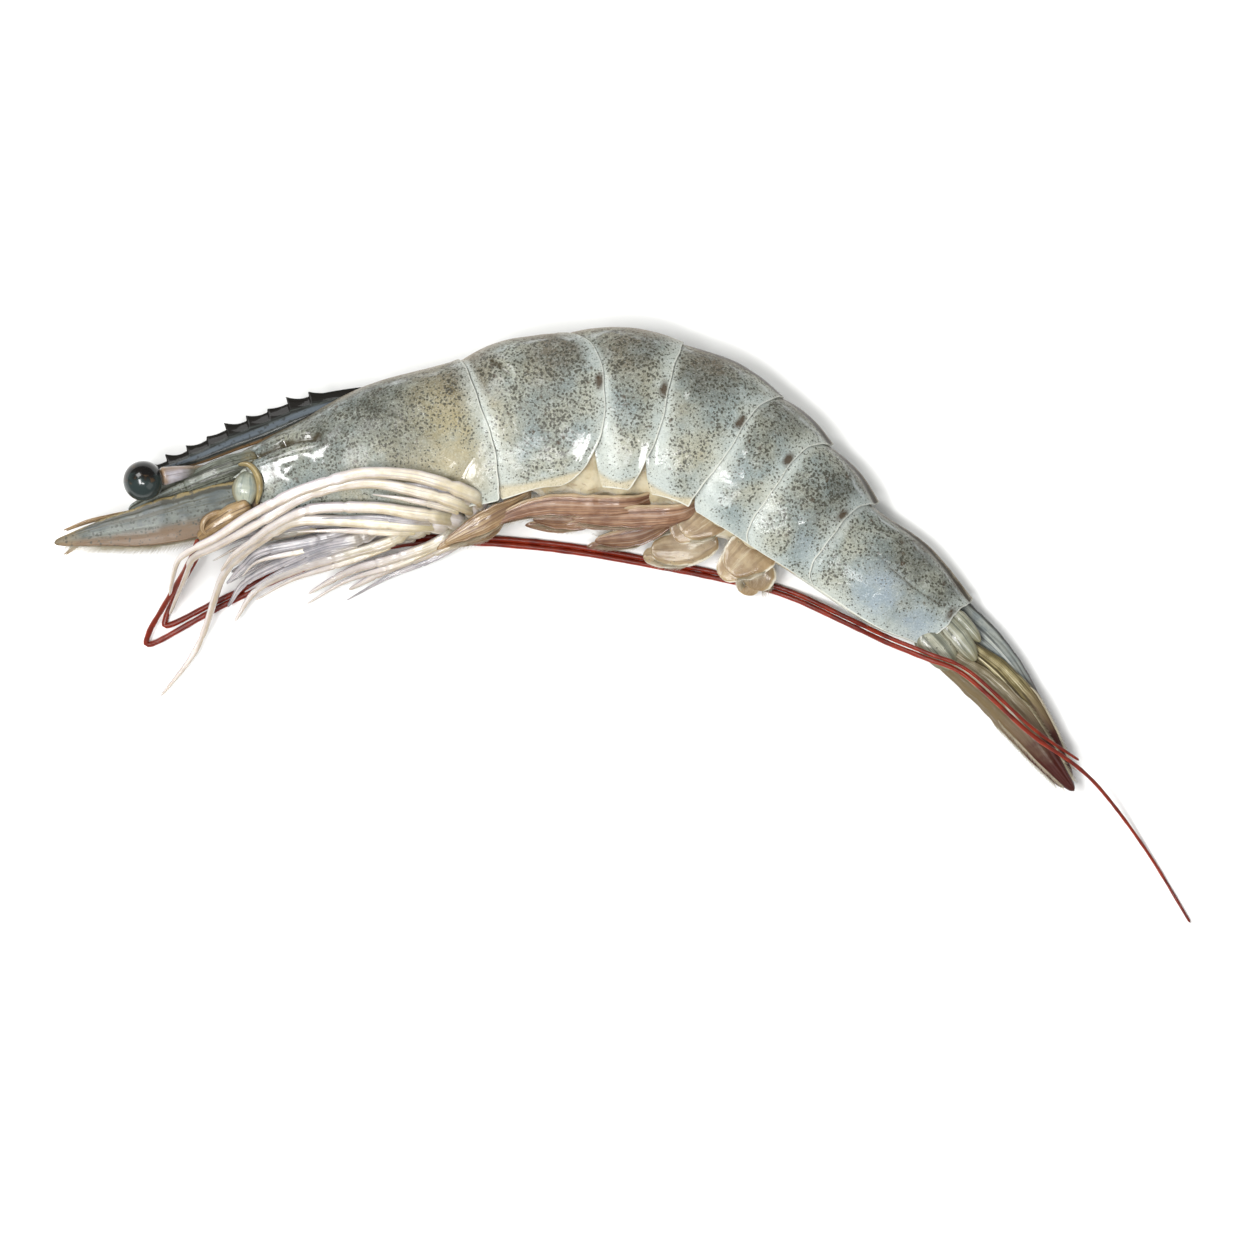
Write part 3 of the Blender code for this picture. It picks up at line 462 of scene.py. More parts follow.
def relief(points, lines):
    """The height of ridges and grooves at each point, in metres, and how dark their bottoms are."""
    total, dark = np.zeros(points.shape[:-1]), np.zeros(points.shape[:-1])
    flat = points[..., :2] / MM
    for start, end, half_width, height, darkness in lines:
        start, end = np.array(start), np.array(end)
        run = end - start
        share = np.clip(((flat - start) @ run) / (run @ run), 0, 1)
        away = np.linalg.norm(flat - (start + share[..., None] * run), axis=-1)
        total += height * MM * hump(away, half_width)
        dark = np.maximum(dark, darkness * hump(away, half_width))
    return total, dark


def uneven(points, size, seed=0.0):
    """A smooth random value from -1 to 1 at each point, which changes over that many millimetres."""
    flat = points.reshape(-1, 3) / (size * MM)
    values = [noise.noise(Vector((x + seed, y, z))) for x, y, z in flat]
    return np.array(values).reshape(points.shape[:-1])


def linear(code):
    """A linear colour from an sRGB hex code."""
    channels = [int(code[i : i + 2], 16) / 255 for i in (1, 3, 5)]
    return (*[c / 12.92 if c <= 0.04045 else ((c + 0.055) / 1.055) ** 2.4 for c in channels], 1.0)


def per(size):
    """The scale of a pattern whose marks are that many millimetres apart."""
    return 1 / (size * MM)


def add(tree, kind, *feeds, out=None, **settings):
    """Adds a node and returns one of its outputs, the first if none is named. Feeds are the values or outputs
    that its inputs take in order; a setting is a property of the node or, by its name, one of its inputs."""
    made = tree.nodes.new("ShaderNode" + kind)
    named = []
    for name, value in settings.items():
        if hasattr(made, name):
            setattr(made, name, value)
        else:
            named.append((made.inputs[name.replace("_", " ")], value))
    shown = [socket for socket in made.inputs if socket.enabled]
    for socket, value in [*zip(shown, feeds), *named]:
        if isinstance(value, bpy.types.NodeSocket):
            tree.links.new(value, socket)
        else:
            socket.default_value = value
    return next((s for s in made.outputs if s.enabled and out in (None, s.name)), None)


def start_finish(name):
    """An empty material's node tree."""
    made = bpy.data.materials.new(name)
    made.use_nodes = True
    made.node_tree.nodes.clear()
    return made, made.node_tree


def object_from(name, bm, finish, nodes, marks=None, modifiers=()):
    """A finished piece, in the part's frame, with its point values and the nodes that it stands for."""
    bmesh.ops.translate(bm, verts=bm.verts, vec=(-BOX_MIDDLE[0] * MM, -BOX_MIDDLE[1] * MM, 0))
    mesh = bpy.data.meshes.new(name)
    bm.to_mesh(mesh)
    bm.free()
    for key, values in (marks or {}).items():
        layer = mesh.attributes.new(key, "FLOAT", "POINT")
        layer.data.foreach_set("value", values.astype(np.float32).ravel())
    mesh.shade_smooth()
    mesh.materials.append(finish)
    made = bpy.data.objects.new(name, mesh)
    bpy.context.scene.collection.objects.link(made)
    for kind, settings in modifiers:
        modifier = made.modifiers.new(kind.lower(), kind)
        for key, value in settings.items():
            setattr(modifier, key, value)
    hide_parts(*nodes)
    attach(made, "root")
    return made


def ball(rings, sides):
    """A ball's mesh with each point's share of the way from pole to pole and its angle round them."""
    bm = bmesh.new()
    bmesh.ops.create_uvsphere(bm, u_segments=sides, v_segments=rings, radius=1)
    start = np.array([vert.co for vert in bm.verts])
    share = np.arccos(np.clip(start[:, 2], -1, 1)) / np.pi
    return bm, share, np.arctan2(start[:, 1], start[:, 0])


def reshape(bm, points):
    """Moves a mesh's points, and turns it right side out if that turned it inside out."""
    for vert, point in zip(bm.verts, points):
        vert.co = point
    if bm.calc_volume(signed=True) < 0:
        bmesh.ops.reverse_faces(bm, faces=bm.faces)


RIM = (
    ("SOLIDIFY", {"thickness": SHELL_THICKNESS, "offset": -1}),
    ("BEVEL", {"width": RIM_ROUNDING, "segments": 2, "limit_method": "ANGLE",
               "angle_limit": math.radians(50)}),
)


def shell(name, lengthwise, around, front, rear, keel, lift, finish, node, open_front=False):
    """One plate of the shell: a sheet bent round the body between its front and rear margins."""
    bm = bmesh.new()
    bmesh.ops.create_grid(bm, x_segments=lengthwise, y_segments=around, size=1)
    start = np.array([vert.co for vert in bm.verts]).reshape(around + 1, lengthwise + 1, 3)
    share, turned = (1 - start[..., 0]) / 2, start[..., 1]
    way = np.abs(turned)
    along = front(way) + (rear(way) - front(way)) * share
    along = along + sum(height * np.sin(turned * waves) for height, waves in MARGIN_WAVES) * share**4
    back, lower, width = size_at(along)[:3]
    depth = np.sin((2 * way - 1) * SIDE_TURN) / math.sin(SIDE_TURN)
    upper = way <= 0.5
    fold = SKIN_FOLD.get(node, NO_FOLD) - 0.07 * (2 * share - 1) ** 2
    below_fold = np.clip((way - fold) / 0.04, 0, 1)

    def points_at(proud):
        ridge = keel * share * np.maximum(0, 1 - way / KEEL_SHARE)
        height = np.where(upper, (back + proud) * np.cos(way * math.pi) + ridge, -lower * depth)
        out = np.where(upper, (width + proud) * np.sin(way * math.pi),
                       (width + proud) * (1 - TUCK_IN * depth**2))
        points = on_body(along, height, np.copysign(out, turned))
        points[..., 2] = np.maximum(points[..., 2], lift * (1 - share) + FLOOR_GAP)
        return points

    step = TILE_RISE * (share - 0.5) - FRONT_DIP * hump(share - 0.02, 0.1)
    swell = 0.25 * (1 + hump(way, 0.25)) * MM * np.sin(np.pi * np.clip(share * 1.3 - 0.25, 0, 1)) - SUNK
    smooth = points_at(step + swell)
    raised, groove = relief(smooth, RELIEF.get(node, ()))
    dents = sum(most * uneven(smooth, size, seed) for size, seed, most in DENTS)
    points = points_at(step + swell + dents + raised - SKIN_DEPTH * below_fold)
    reshape(bm, points.reshape(-1, 3))

    steps = np.linalg.norm(np.diff(points, axis=1), axis=2)
    from_rear = np.concatenate([np.zeros((around + 1, 1)), np.cumsum(steps, axis=1)], axis=1)
    steps = np.linalg.norm(np.diff(points, axis=0), axis=2)
    from_low = np.concatenate([np.zeros((1, lengthwise + 1)), np.cumsum(steps, axis=0)], axis=0)
    edge = np.minimum.reduce([from_rear, from_low, from_low[-1:] - from_low])
    if open_front:
        edge = np.minimum(edge, from_rear[:, -1:] - from_rear)
    ridge = hump(turned - DARK_LINE, 0.04) * np.clip(share * 3, 0, 1) if node in DARK_RIDGES else 0 * way
    from_front = (from_rear[:, -1:] - from_rear) / MM
    tuck = np.clip(1 - (from_front - 1.8) / (1.6 + 2.6 * np.clip(way * 2.5 - 0.8, 0, 1)), 0, 1)
    from_hinge = (way - HINGE) * 0.8 * (back + lower + width) / MM
    marks = {
        "edge": edge / MM, "way": way, "ridge": ridge, "groove": groove,
        "joint": 0 * way if open_front else hump(np.hypot(from_rear / MM - 0.7, from_hinge * 0.7), 0.8),
        "tuck": 0 * way if open_front else tuck,
        # The fold mark places a painted highlight along the step from the plate down to the skin.
        "skin": below_fold, "fold": hump(way - fold + 0.004, 0.007),
        **{mark: spots(points, places) for mark, places in SPOTS.items()},
    }
    return object_from(name, bm, finish, [node], marks, RIM)


def carapace_front(way):
    return np.interp(way, *zip(*CARAPACE_FRONT)) * MM


def carapace_rear(way):
    return CARAPACE_REAR + (lag(way, *CARAPACE_LAG) - CARAPACE_CORNER * corner(way)) * MM


def make_shells(finish):
    """The head shell and the six rings of the abdomen behind it."""
    shell("head_shell", 150, 180, carapace_front, carapace_rear, 0.0, 0.0, finish, "carapace",
          open_front=True)
    hinge_before, lags_before = CARAPACE_REAR, CARAPACE_LAG
    for node, hinge, at_back, at_edge, rear_corner, front_corner, keel in RINGS:
        hinge_here, lags_here = hinge * MM, (at_back, at_edge)

        def front(way, start=hinge_before - RIM_OVERLAP, lags=lags_before,
                  rounding=front_corner):
            return start + (lag(way, lags[0], min(lags[1], 0.0)) + rounding * corner(way)) * MM

        def rear(way, end=hinge_here, lags=lags_here, rounding=rear_corner):
            return end + (lag(way, *lags) - rounding * corner(way)) * MM

        name = node.replace("shell", "abdomen_ring")
        shell(name, 60, 180, front, rear, keel * MM, FRONT_LIFT, finish, node)
        hinge_before, lags_before = hinge_here, lags_here


def make_rostrum(finish):
    """The blade over the eyes: a thin wedge with a saw edge of forward-leaning teeth."""
    rings, sides = 260, 16
    bm, share, angle = ball(rings, sides)
    top, under = smooth_line(ROSTRUM_TOP), smooth_line(ROSTRUM_UNDER)
    top_lengths, under_lengths = lengths_along(top), lengths_along(under)
    over = rows_at(share * top_lengths[-1], top_lengths, top)
    below = rows_at(share * under_lengths[-1], under_lengths, under)
    first = top_lengths[-1] - POINT_LENGTH - TEETH * TOOTH_PITCH
    number = (share * top_lengths[-1] - first) / TOOTH_PITCH
    phase = np.where((number > 0) & (number < TEETH), number % 1, 0)
    tooth = np.where(phase < 0.7, (phase / 0.7) ** 2.0, np.maximum(0, 1 - (phase - 0.7) / 0.1) ** 1.5)
    tooth = tooth * (0.8 + 0.35 * np.sin(np.floor(number) * 2.1))
    up = (1 + np.cos(angle)) / 2
    lean = tooth * TOOTH_HEIGHT * np.clip(up * 2.4 - 1.4, 0, 1)
    flat = below + (over - below) * up[:, None]
    flat[:, 1] += lean
    flat[:, 0] -= lean * 0.7
    fullness = dome(np.minimum(share, 1 - share) / 0.04)
    thickness = (0.75 - 0.5 * up**1.5) * np.sin(angle) * fullness * (1 + 0.12 * np.cos(up * 18))
    reshape(bm, np.column_stack([flat, HEAD_REST + thickness]) * MM)
    marks = {"tooth": np.clip(up * 6 - 3.6, 0, 1), "up": up, "share": share}
    object_from("rostrum", bm, finish, ["carapace"], marks)


def make_meat(finish):
    """Meat and belly skin, which show between the side plates and the limbs."""
    bm, share, angle = ball(150, 72)
    along = MEAT_START + (MEAT_END - MEAT_START) * share
    back, lower, width = size_at(along)[:3]
    lower = lower + np.interp(along / MM, *zip(*BELLY_DEPTH)) * MM
    fullness = dome(np.minimum(share / 0.05, (1 - share) / 0.03))
    across, up = np.sin(angle), np.cos(angle)
    segment = 1 + 0.035 * np.sin(along * 2 * math.pi / BELLY_SEGMENT) * (up < 0.3)
    height = np.where(up >= 0, (back - MEAT_INSIDE) * up, -lower * np.abs(up) ** 0.8)
    side = (width - MEAT_INSIDE) * np.where(up >= 0, across, np.copysign(np.abs(across) ** 0.8, across))
    points = on_body(along, height * fullness * segment, side * fullness * segment)
    points = points + unit(points - on_body(along, 0, 0)) * (uneven(points, 3.0) * 0.18 * MM)[:, None]
    points[:, 2] = np.maximum(points[:, 2], 0.1 * MM)
    reshape(bm, points)
    object_from("belly_meat", bm, finish, ["flesh"])


def limb(name, route, widths, thicknesses, broad, rings, sides, finish, nodes, tip=0.03, joints=(),
         ribs=0, rib_height=0.0, rough=0.05, curl=0.0, seed=0.0):
    """A tapering limb or blade along a smooth route. Broad is the direction in which its width lies, joints
    are the shares of its length where it narrows between two segments, and curl bends its edges down."""
    line = smooth_line(route, 12) * MM
    lengths = lengths_along(line)
    headings = np.gradient(line, lengths, axis=0)
    bm, share, angle = ball(rings, sides)
    at = share * lengths[-1]
    heading = unit(rows_at(at, lengths, headings))
    flat = unit(np.cross(heading, np.array(broad)))
    wide = np.cross(flat, heading)
    fullness = dome(np.minimum(share, 1 - share) / tip)
    for joint in joints:
        swollen, waist = hump(share - joint + 0.018, 0.016), hump(share - joint, 0.008)
        fullness = fullness * (1 + 0.1 * swollen - 0.22 * waist)
    steps = np.linspace(0, 1, len(widths))
    width = np.interp(share, steps, widths) * MM / 2 * fullness
    steps = np.linspace(0, 1, len(thicknesses))
    thickness = np.interp(share, steps, thicknesses) * MM / 2 * fullness
    across = np.cos(angle)
    middle = rows_at(at, lengths, line)
    lumps = 1 + rough * uneven(middle + wide * (width * across)[:, None], 1.6, seed)
    lift = thickness * np.sin(angle) * lumps
    lift = lift + rib_height * MM * np.cos(ribs * math.pi * across) * np.abs(np.sin(angle)) * fullness
    lift = lift - np.abs(curl) * MM * across**2 * fullness * np.sign(curl)
    points = middle + wide * (width * across * lumps)[:, None] + flat * lift[:, None]
    points[:, 2] = np.maximum(points[:, 2], 0.05 * MM)
    reshape(bm, points)
    return object_from(name, bm, finish, nodes, {"share": share, "across": across})


def hairs(name, roots, directions, length, width, finish, nodes):
    """A fringe of fine hairs, each a three-sided cone from its root."""
    bm = bmesh.new()
    for number, (root, direction) in enumerate(zip(roots, directions)):
        lean = Vector(direction).normalized()
        reach = length * MM * (0.75 + 0.5 * ((number * GOLDEN_SHARE) % 1))
        turn = lean.to_track_quat("Z", "Y").to_matrix().to_4x4()
        place = Matrix.Translation(Vector(root) + lean * reach / 2) @ turn
        bmesh.ops.create_cone(bm, segments=3, radius1=width * MM / 2, radius2=0.012 * MM, depth=reach,
                              cap_ends=True, matrix=place)
    if min(vert.co.z for vert in bm.verts) < 0:
        for vert in bm.verts:
            vert.co.z = max(vert.co.z, 0.02 * MM)
    count = len(bm.verts)
    marks = {"share": np.full(count, 0.5), "across": np.zeros(count)}
    return object_from(name, bm, finish, nodes, marks)


def fringe(name, route, reach, side, spread, count, length, finish, nodes, from_share=0.3):
    """Hairs along one edge of a blade: reach is the blade's width along its route, side is +1 or -1."""
    line = smooth_line(route, 12) * MM
    lengths = lengths_along(line)
    share = np.linspace(from_share, 0.94, count)
    heading = unit(rows_at(share * lengths[-1], lengths, np.gradient(line, lengths, axis=0)))
    flat = unit(np.cross(heading, np.array(ALONG_AND_ACROSS)))
    wide = np.cross(flat, heading) * side
    edge = np.interp(share, np.linspace(0, 1, len(reach)), reach) * MM * 0.47
    roots = rows_at(share * lengths[-1], lengths, line) + wide * edge[:, None]
    hairs(name, roots, wide * spread + heading, length, HAIR_WIDTH, finish, nodes)


def beside(shape, sign):
    """The route of a limb of the head from its distances from the middle plane, to the left or the right."""
    return [(x, y, HEAD_REST + sign * side) for x, y, side in shape]


def make_eyes(finish, stalk_finish):
    for hand, sign in HANDS:
        centre = np.array([*EYE, HEAD_REST + sign * EYE_SPREAD]) * MM
        bm, share, angle = ball(64, 96)
        turn = share * math.pi
        round_pole = np.sin(turn)[:, None] * np.column_stack([np.cos(angle), np.sin(angle)])
        outward = np.column_stack([round_pole, np.cos(turn)])
        # The globe is drawn in a little where the stalk carries it, and the faceted skin is not quite even.
        to_stalk = unit(np.array([[0.86, 0.12, -0.5 * sign]]))[0]
        waist = 1 - 0.1 * hump(1 - outward @ to_stalk, 0.12)
        reshape(bm, centre + outward * (EYE_RADIUS * MM * waist)[:, None])
        marks = {"stalk": np.clip(outward @ to_stalk, 0, 1), "up": outward[:, 1]}
        object_from(f"eye_globe_{hand}", bm, finish, [f"eye_{hand}"], marks)
        limb(f"eyestalk_{hand}", beside(STALK_ROUTE, sign), (0.8, 1.5, 2.3, 2.9), (1.2, 1.7, 2.2, 2.5),
             ACROSS, 40, 24, stalk_finish, [f"eye_stalk_{hand}"], tip=0.08, joints=(0.35,),
             seed=3.0)


def make_head_limbs():
    """Antennal scales with their fringe, antennules with two short whips each, and the stout feeler bases."""
    for hand, sign in HANDS:
        route = beside(SCALE_ROUTE, sign)
        limb(f"feeler_scale_{hand}", route, SCALE_WIDTHS, (1.3, 1.0, 0.8, 0.6), ACROSS, 90, 40, SCALE,
             [f"antennal_scale_{hand}"], ribs=5, rib_height=0.07, curl=0.35 * sign,
             seed=9.0)
        fringe(f"scale_fringe_{hand}", route, SCALE_WIDTHS, -1, 0.9, 110, 1.5, HAIR,
               [f"antennal_scale_{hand}"])
    for hand, sign in HANDS:
        route = beside(ANTENNULE_ROUTE, sign)
        limb(f"antennule_stem_{hand}", route, (3.4, 3.8, 3.2, 2.6, 1.7), (2.6, 2.4, 2.0, 1.4), ACROSS, 90, 32,
             PEDUNCLE, [f"antennule_{hand}"], joints=(0.55, 0.78), tip=0.06, ribs=3,
             rib_height=0.09, seed=12.0)
        x, y, z = route[-1]
        for whip, (dy, dz) in enumerate(WHIP_SPREADS):
            dz = dz * sign
            path = [(x + 0.6, y, z), (x - 2.8, y - 1.0 + dy * 0.4, z + dz * 0.6),
                    (x - 6.2, y - 2.4 + dy, z + dz), (x - 9.6, y - 4.2 + dy * 1.5, z + dz * 0.6)]
            limb(f"antennule_whip_{hand}_{whip}", path, (0.8, 0.6, 0.45, 0.2), (0.7, 0.5, 0.4, 0.2), ACROSS,
                 60, 10, TAN_SKIN, [f"antennule_{hand}"], seed=15.0 + whip)
    finishes = {"base": TAN_SKIN, "curl": TAN_SKIN, "knob": KNOB, "collar": COLLAR}
    for hand, sign in HANDS:
        for name, (shape, widths, thicknesses, broad, tip) in FEELER_ROOTS.items():
            limb(f"feeler_{name}_{hand}", beside(shape, sign), widths, thicknesses, broad, 60, 24,
                 finishes[name], [f"antenna_base_{hand}"], tip=tip, seed=18.0)


def make_feelers(finish):
    """Whip-like antennae made of hundreds of short rings, which show as a fine waviness of the surface."""
    for node, route in FEELERS.items():
        line = smooth_line(route, 6)
        limb(node.replace("antenna", "feeler"), line, FEELER_WIDTHS, FEELER_WIDTHS, FEELER_BREADTH, 560, 12,
             finish, [node], tip=0.004, rough=0.16, seed=24.0)


def make_legs(finish, feeding_finish):
    """Walking legs and feeding limbs, each with a rounded hip at its root."""
    for number, (node, route) in enumerate(LEGS.items()):
        walking = node.startswith("leg")
        skin = finish if walking and "leg_1" not in node else feeding_finish
        widths = [width * (1.04 if number % 2 else 0.94) for width in LEG_WIDTHS]
        limb(node + "_skin", route, widths, [width * LEG_FLATNESS for width in widths], ACROSS, 120, 32, skin,
             [node], joints=LEG_JOINTS if walking else FEEDING_JOINTS, tip=0.02, ribs=1,
             rib_height=0.14, rough=0.05, seed=number * 3.1)
        root, after = Vector(route[0]), Vector(route[1])
        hip = [tuple(root + (after - root).normalized() * reach) for reach in (-2.2, 0.2, 2.6)]
        limb(node + "_hip", hip, (2.2, 2.9, 2.0), (2.0, 2.5, 1.8), ACROSS, 36, 28, finish,
             [node], tip=0.4, rough=0.08, seed=number * 1.7)
        # A slimmer branch lies along each limb, a little lower.
        branch = [(x - 0.4, y - 1.0 - 0.2 * step, z - 0.9) for step, (x, y, z) in enumerate(route[1:5])]
        skin = feeding_finish if number % 2 else finish
        limb(node + "_branch", branch, (0.9, 1.1, 0.9, 0.5, 0.2), (0.7, 0.7, 0.5, 0.4, 0.2), ACROSS, 90, 20,
             skin, [node], joints=(0.4,), tip=0.02, ribs=1, rib_height=0.08, rough=0.06,
             seed=number * 2.9)


def make_swimmerets(finishes, hair_finish):
    """Swimmerets of an outer and a smaller inner blade, fringed with hairs."""
    for number, (node, route) in enumerate(SWIMMERETS.items()):
        pair = node.split("_")[1]
        leaf = pair in LEAF_PAIRS
        widths, broad, thin, rough, ribs = LEAF_SHAPE if leaf else STALK_SHAPE
        if leaf and node.endswith("right"):
            widths = [width * RIGHT_LEAF_SIZE for width in widths]
        thicknesses = [thin * thickness for thickness in SWIMMERET_THICKNESSES]
        finish = finishes[pair]
        limb(node + "_leaf", route, widths, thicknesses, broad, 90, 44, finish, [node],
             tip=0.08, ribs=ribs, rib_height=0.06 * thin, rough=rough, curl=0.5 * thin, seed=number * 2.3)
        under = [(x - 1.2, y - 0.8, z - 1.1) for x, y, z in route]
        limb(node + "_inner_leaf", under, [width * 0.75 for width in widths], thicknesses, broad, 72, 36,
             finish, [node], tip=0.08, ribs=ribs - 1, rib_height=0.06 * thin, rough=rough,
             curl=0.4 * thin, seed=number * 5.1 + 1.0)
        for side in (-1, 1):
            fringe(f"{node}_fringe_{(side + 1) // 2}", route, widths, side, 0.45, 26, 1.3, hair_finish,
                   [node], from_share=0.5)


def make_tail_fan(finishes, base_finish, hair_finish):
    """The telson and the four blades beside it, folded into a narrow bundle and fringed with hairs."""
    for hand, sign in HANDS:
        for number, (start, end, width) in enumerate(TAIL_KNOBS):
            middle = [(a + b) / 2 for a, b in zip(start, end)]
            route = [tuple(on_body(along * MM, height * MM, sign * (3.0 - 0.3 * number) * MM) / MM)
                     for along, height in (start, middle, end)]
            limb(f"tail_root_{hand}_{number}", route, (width * 0.9, width, width * 0.6), (1.5, 1.3, 0.8),
                 ALONG_AND_ACROSS, 40, 32, base_finish, [f"uropod_base_{hand}"], tip=0.3,
                 rough=0.1, seed=number * 4.0 + sign)
    for number, (node, (places, widths, thickness)) in enumerate(TAIL_FAN.items()):
        route = [tuple(on_body(along * MM, height * MM, side * MM) / MM) for along, height, side in places]
        kind = node if node == "telson" else node.split("_")[1]
        limb(node + "_blade", route, widths, (thickness, thickness * 0.8), ALONG_AND_ACROSS, 90, 40,
             finishes[kind], [node], tip=0.05, ribs=3 if node != "telson" else 2,
             rib_height=0.12, rough=0.06, curl=0.25 if "right" not in node else -0.25, seed=number)
        if node != "telson":
            for side in (-1, 1):
                fringe(f"{node}_fringe_{(side + 1) // 2}", route, widths, side, 0.35, 60, 1.1, hair_finish,
                       [node], from_share=0.45)


def blend(tree, amount, under, code):
    """A colour laid over another, by an amount from 0 to 1."""
    return add(tree, "Mix", amount, under, linear(code), data_type="RGBA")


def ramp(tree, value, start, end, low=0.0, high=1.0):
    """A smooth step from low to high between two values."""
    return add(tree, "MapRange", value, start, end, low, high, interpolation_type="SMOOTHSTEP")


def tint(tree, colour, code, value, *steps):
    """A colour laid over another as far as a value has come between two others."""
    return blend(tree, ramp(tree, value, *steps), colour, code)


def maths(tree, operation, *values):
    """One sum on values in a material."""
    return add(tree, "Math", *values, operation=operation)


def cloudy(tree, place, size, detail, roughness=0.5):
    """Soft clouds that are about that many millimetres across."""
    return add(tree, "TexNoise", place, Scale=per(size), Detail=detail, Roughness=roughness)


def attribute(tree, name):
    """One of the values that a piece gives to each of its points."""
    return add(tree, "Attribute", attribute_name=name, out="Fac")


def speckled(tree, place, colour, crowd, kinds):
    """Pigment cells: irregular dots that crowd together in places. A kind of dot is its spacing in
    millimetres, how large it is beside crowd, its strength and its colour."""
    warp = add(tree, "TexNoise", place, Scale=per(0.7), Detail=2.0, out="Color")
    warp = add(tree, "VectorMath", warp, (0.5, 0.5, 0.5), operation="SUBTRACT")
    warp = add(tree, "VectorMath", warp, operation="SCALE", Scale=0.6 * MM)
    bent = add(tree, "VectorMath", place, warp, operation="ADD")
    for size, reach, strength, code in kinds:
        cells = add(tree, "TexVoronoi", bent, Scale=per(size), out="Distance")
        radius = maths(tree, "MULTIPLY", crowd, reach)
        inside = maths(tree, "SUBTRACT", radius, cells)
        dot = add(tree, "MapRange", inside, -0.06, 0.07, 0.0, strength)
        colour = blend(tree, dot, colour, code)
    return colour


def shell_finish():
    """Raw shrimp shell: thin chitin laid down in layers, with pigment cells scattered through it. It is
    grey-blue and cloudy, finely speckled, paler where it is thin at the rims, and wet, so its gloss is sharp
    in patches. Pale lines along its rolled rims, the skin fold and the foot of the crest are painted
    highlights."""
    made, tree = start_finish("wet_raw_chitin")
    place = add(tree, "TexCoord", out="Object")
    mark = {
        name: attribute(tree, name)
        for name in ("edge", "way", "ridge", "joint", "groove", "skin", "fold", "tuck", *SPOTS)
    }
    clouds = cloudy(tree, place, 6.0, 3.0, 0.55)
    mottle = cloudy(tree, place, 1.9, 4.0, 0.65)
    smoke = cloudy(tree, add(tree, "VectorMath", place, (0.5, 0.2, 0.1), operation="ADD"), 3.4, 5.0, 0.6)
    grain = cloudy(tree, place, 0.28, 3.0, 0.7)
    wander = add(tree, "MapRange", mottle, 0.3, 0.7, 0.6, 1.25)

    colour = blend(tree, ramp(tree, clouds, 0.34, 0.66), linear("#818C8A"), "#9C9D8E")
    colour = tint(tree, colour, "#6F756F", smoke, 0.5, 0.7, 0.0, 0.5)
    colour = tint(tree, colour, "#B4BAB4", smoke, 0.48, 0.3, 0.0, 0.5)
    for name, code, most in (("pale", "#A0967A", 0.85), ("olive", "#9A8D65", 0.8), ("dusk", "#3E423C", 0.85),
                             ("stain", "#4F4029", 0.9), ("clear", "#86949E", 0.8)):
        patch = maths(tree, "MULTIPLY", mark[name], wander)
        colour = blend(tree, add(tree, "MapRange", patch, 0.1, 0.95, 0.0, most), colour, code)

    # Where a ring slides under the one before it, and along its free margin, the shell is thin and paler.
    tucked = ramp(tree, mark["tuck"], 0.0, 1.0, 0.0, 0.75)
    colour = blend(tree, tucked, colour, "#B9BFB9")
    thin = ramp(tree, mark["edge"], 0.2, 3.2, 0.5, 0.0)
    colour = blend(tree, thin, colour, "#B4BBB6")
    colour = blend(tree, add(tree, "MapRange", mark["skin"], 0.0, 1.0, 0.0, 0.85), colour, "#BBAF92")

    clear = maths(tree, "MAXIMUM", mark["pale"], thin)
    clear = maths(tree, "MAXIMUM", clear, mark["clear"])
    clear = maths(tree, "MAXIMUM", clear, mark["skin"])
    clear = maths(tree, "MAXIMUM", clear, tucked)
    pigment = maths(tree, "MAXIMUM", mark["dusk"], mark["stain"])
    crowd = cloudy(tree, place, 3.0, 3.0, 0.6)
    crowd = add(tree, "MapRange", crowd, 0.36, 0.62, 0.29, 0.455)
    crowd = maths(tree, "MULTIPLY_ADD", pigment, 0.08, crowd)
    crowd = maths(tree, "MULTIPLY_ADD", clear, -0.26, crowd)
    colour = speckled(tree, place, colour, crowd, (
        (0.3, 0.95, 0.5, "#4A483B"), (0.5, 1.0, 0.82, "#302D22"), (2.4, 0.28, 0.85, "#3E2F1D")))
    colour = tint(tree, colour, "#565A54", grain, 0.5, 0.7, 0.0, 0.3)
    colour = tint(tree, colour, "#D2D6CF", grain, 0.5, 0.32, 0.0, 0.22)

    # The crest of the back is clear shell with little pigment. A broken pale line along its foot is a painted
    # highlight of wet gloss.
    waver = add(tree, "MapRange", clouds, 0.3, 0.7, -0.04, 0.04)
    crest = maths(tree, "ADD", mark["way"], waver)
    colour = tint(tree, colour, "#948063", crest, 0.0, 0.16, 0.5, 0.0)
    painted_foot_highlight = maths(tree, "ABSOLUTE", maths(tree, "SUBTRACT", crest, 0.146))
    broken = ramp(tree, smoke, 0.4, 0.65, 0.0, 0.3)
    painted_foot_highlight = maths(tree, "MULTIPLY", ramp(tree, painted_foot_highlight, 0.0, 0.03, 1.0, 0.0), broken)
    colour = blend(tree, painted_foot_highlight, colour, "#DDE2E2")

    # The pale fold line is a painted highlight where the stiff plate steps down to the soft skin.
    for name, code, low, high, most in (
        ("ridge", "#241B12", 0.25, 0.7, 0.85), ("joint", "#3A2A17", 0.25, 0.8, 0.9),
        ("groove", "#3B3423", 0.25, 0.85, 0.9), ("fold", "#CFCDBC", 0.3, 0.9, 0.3),
    ):
        line = maths(tree, "MULTIPLY", mark[name], wander)
        colour = blend(tree, add(tree, "MapRange", line, low, high, 0.0, most), colour, code)
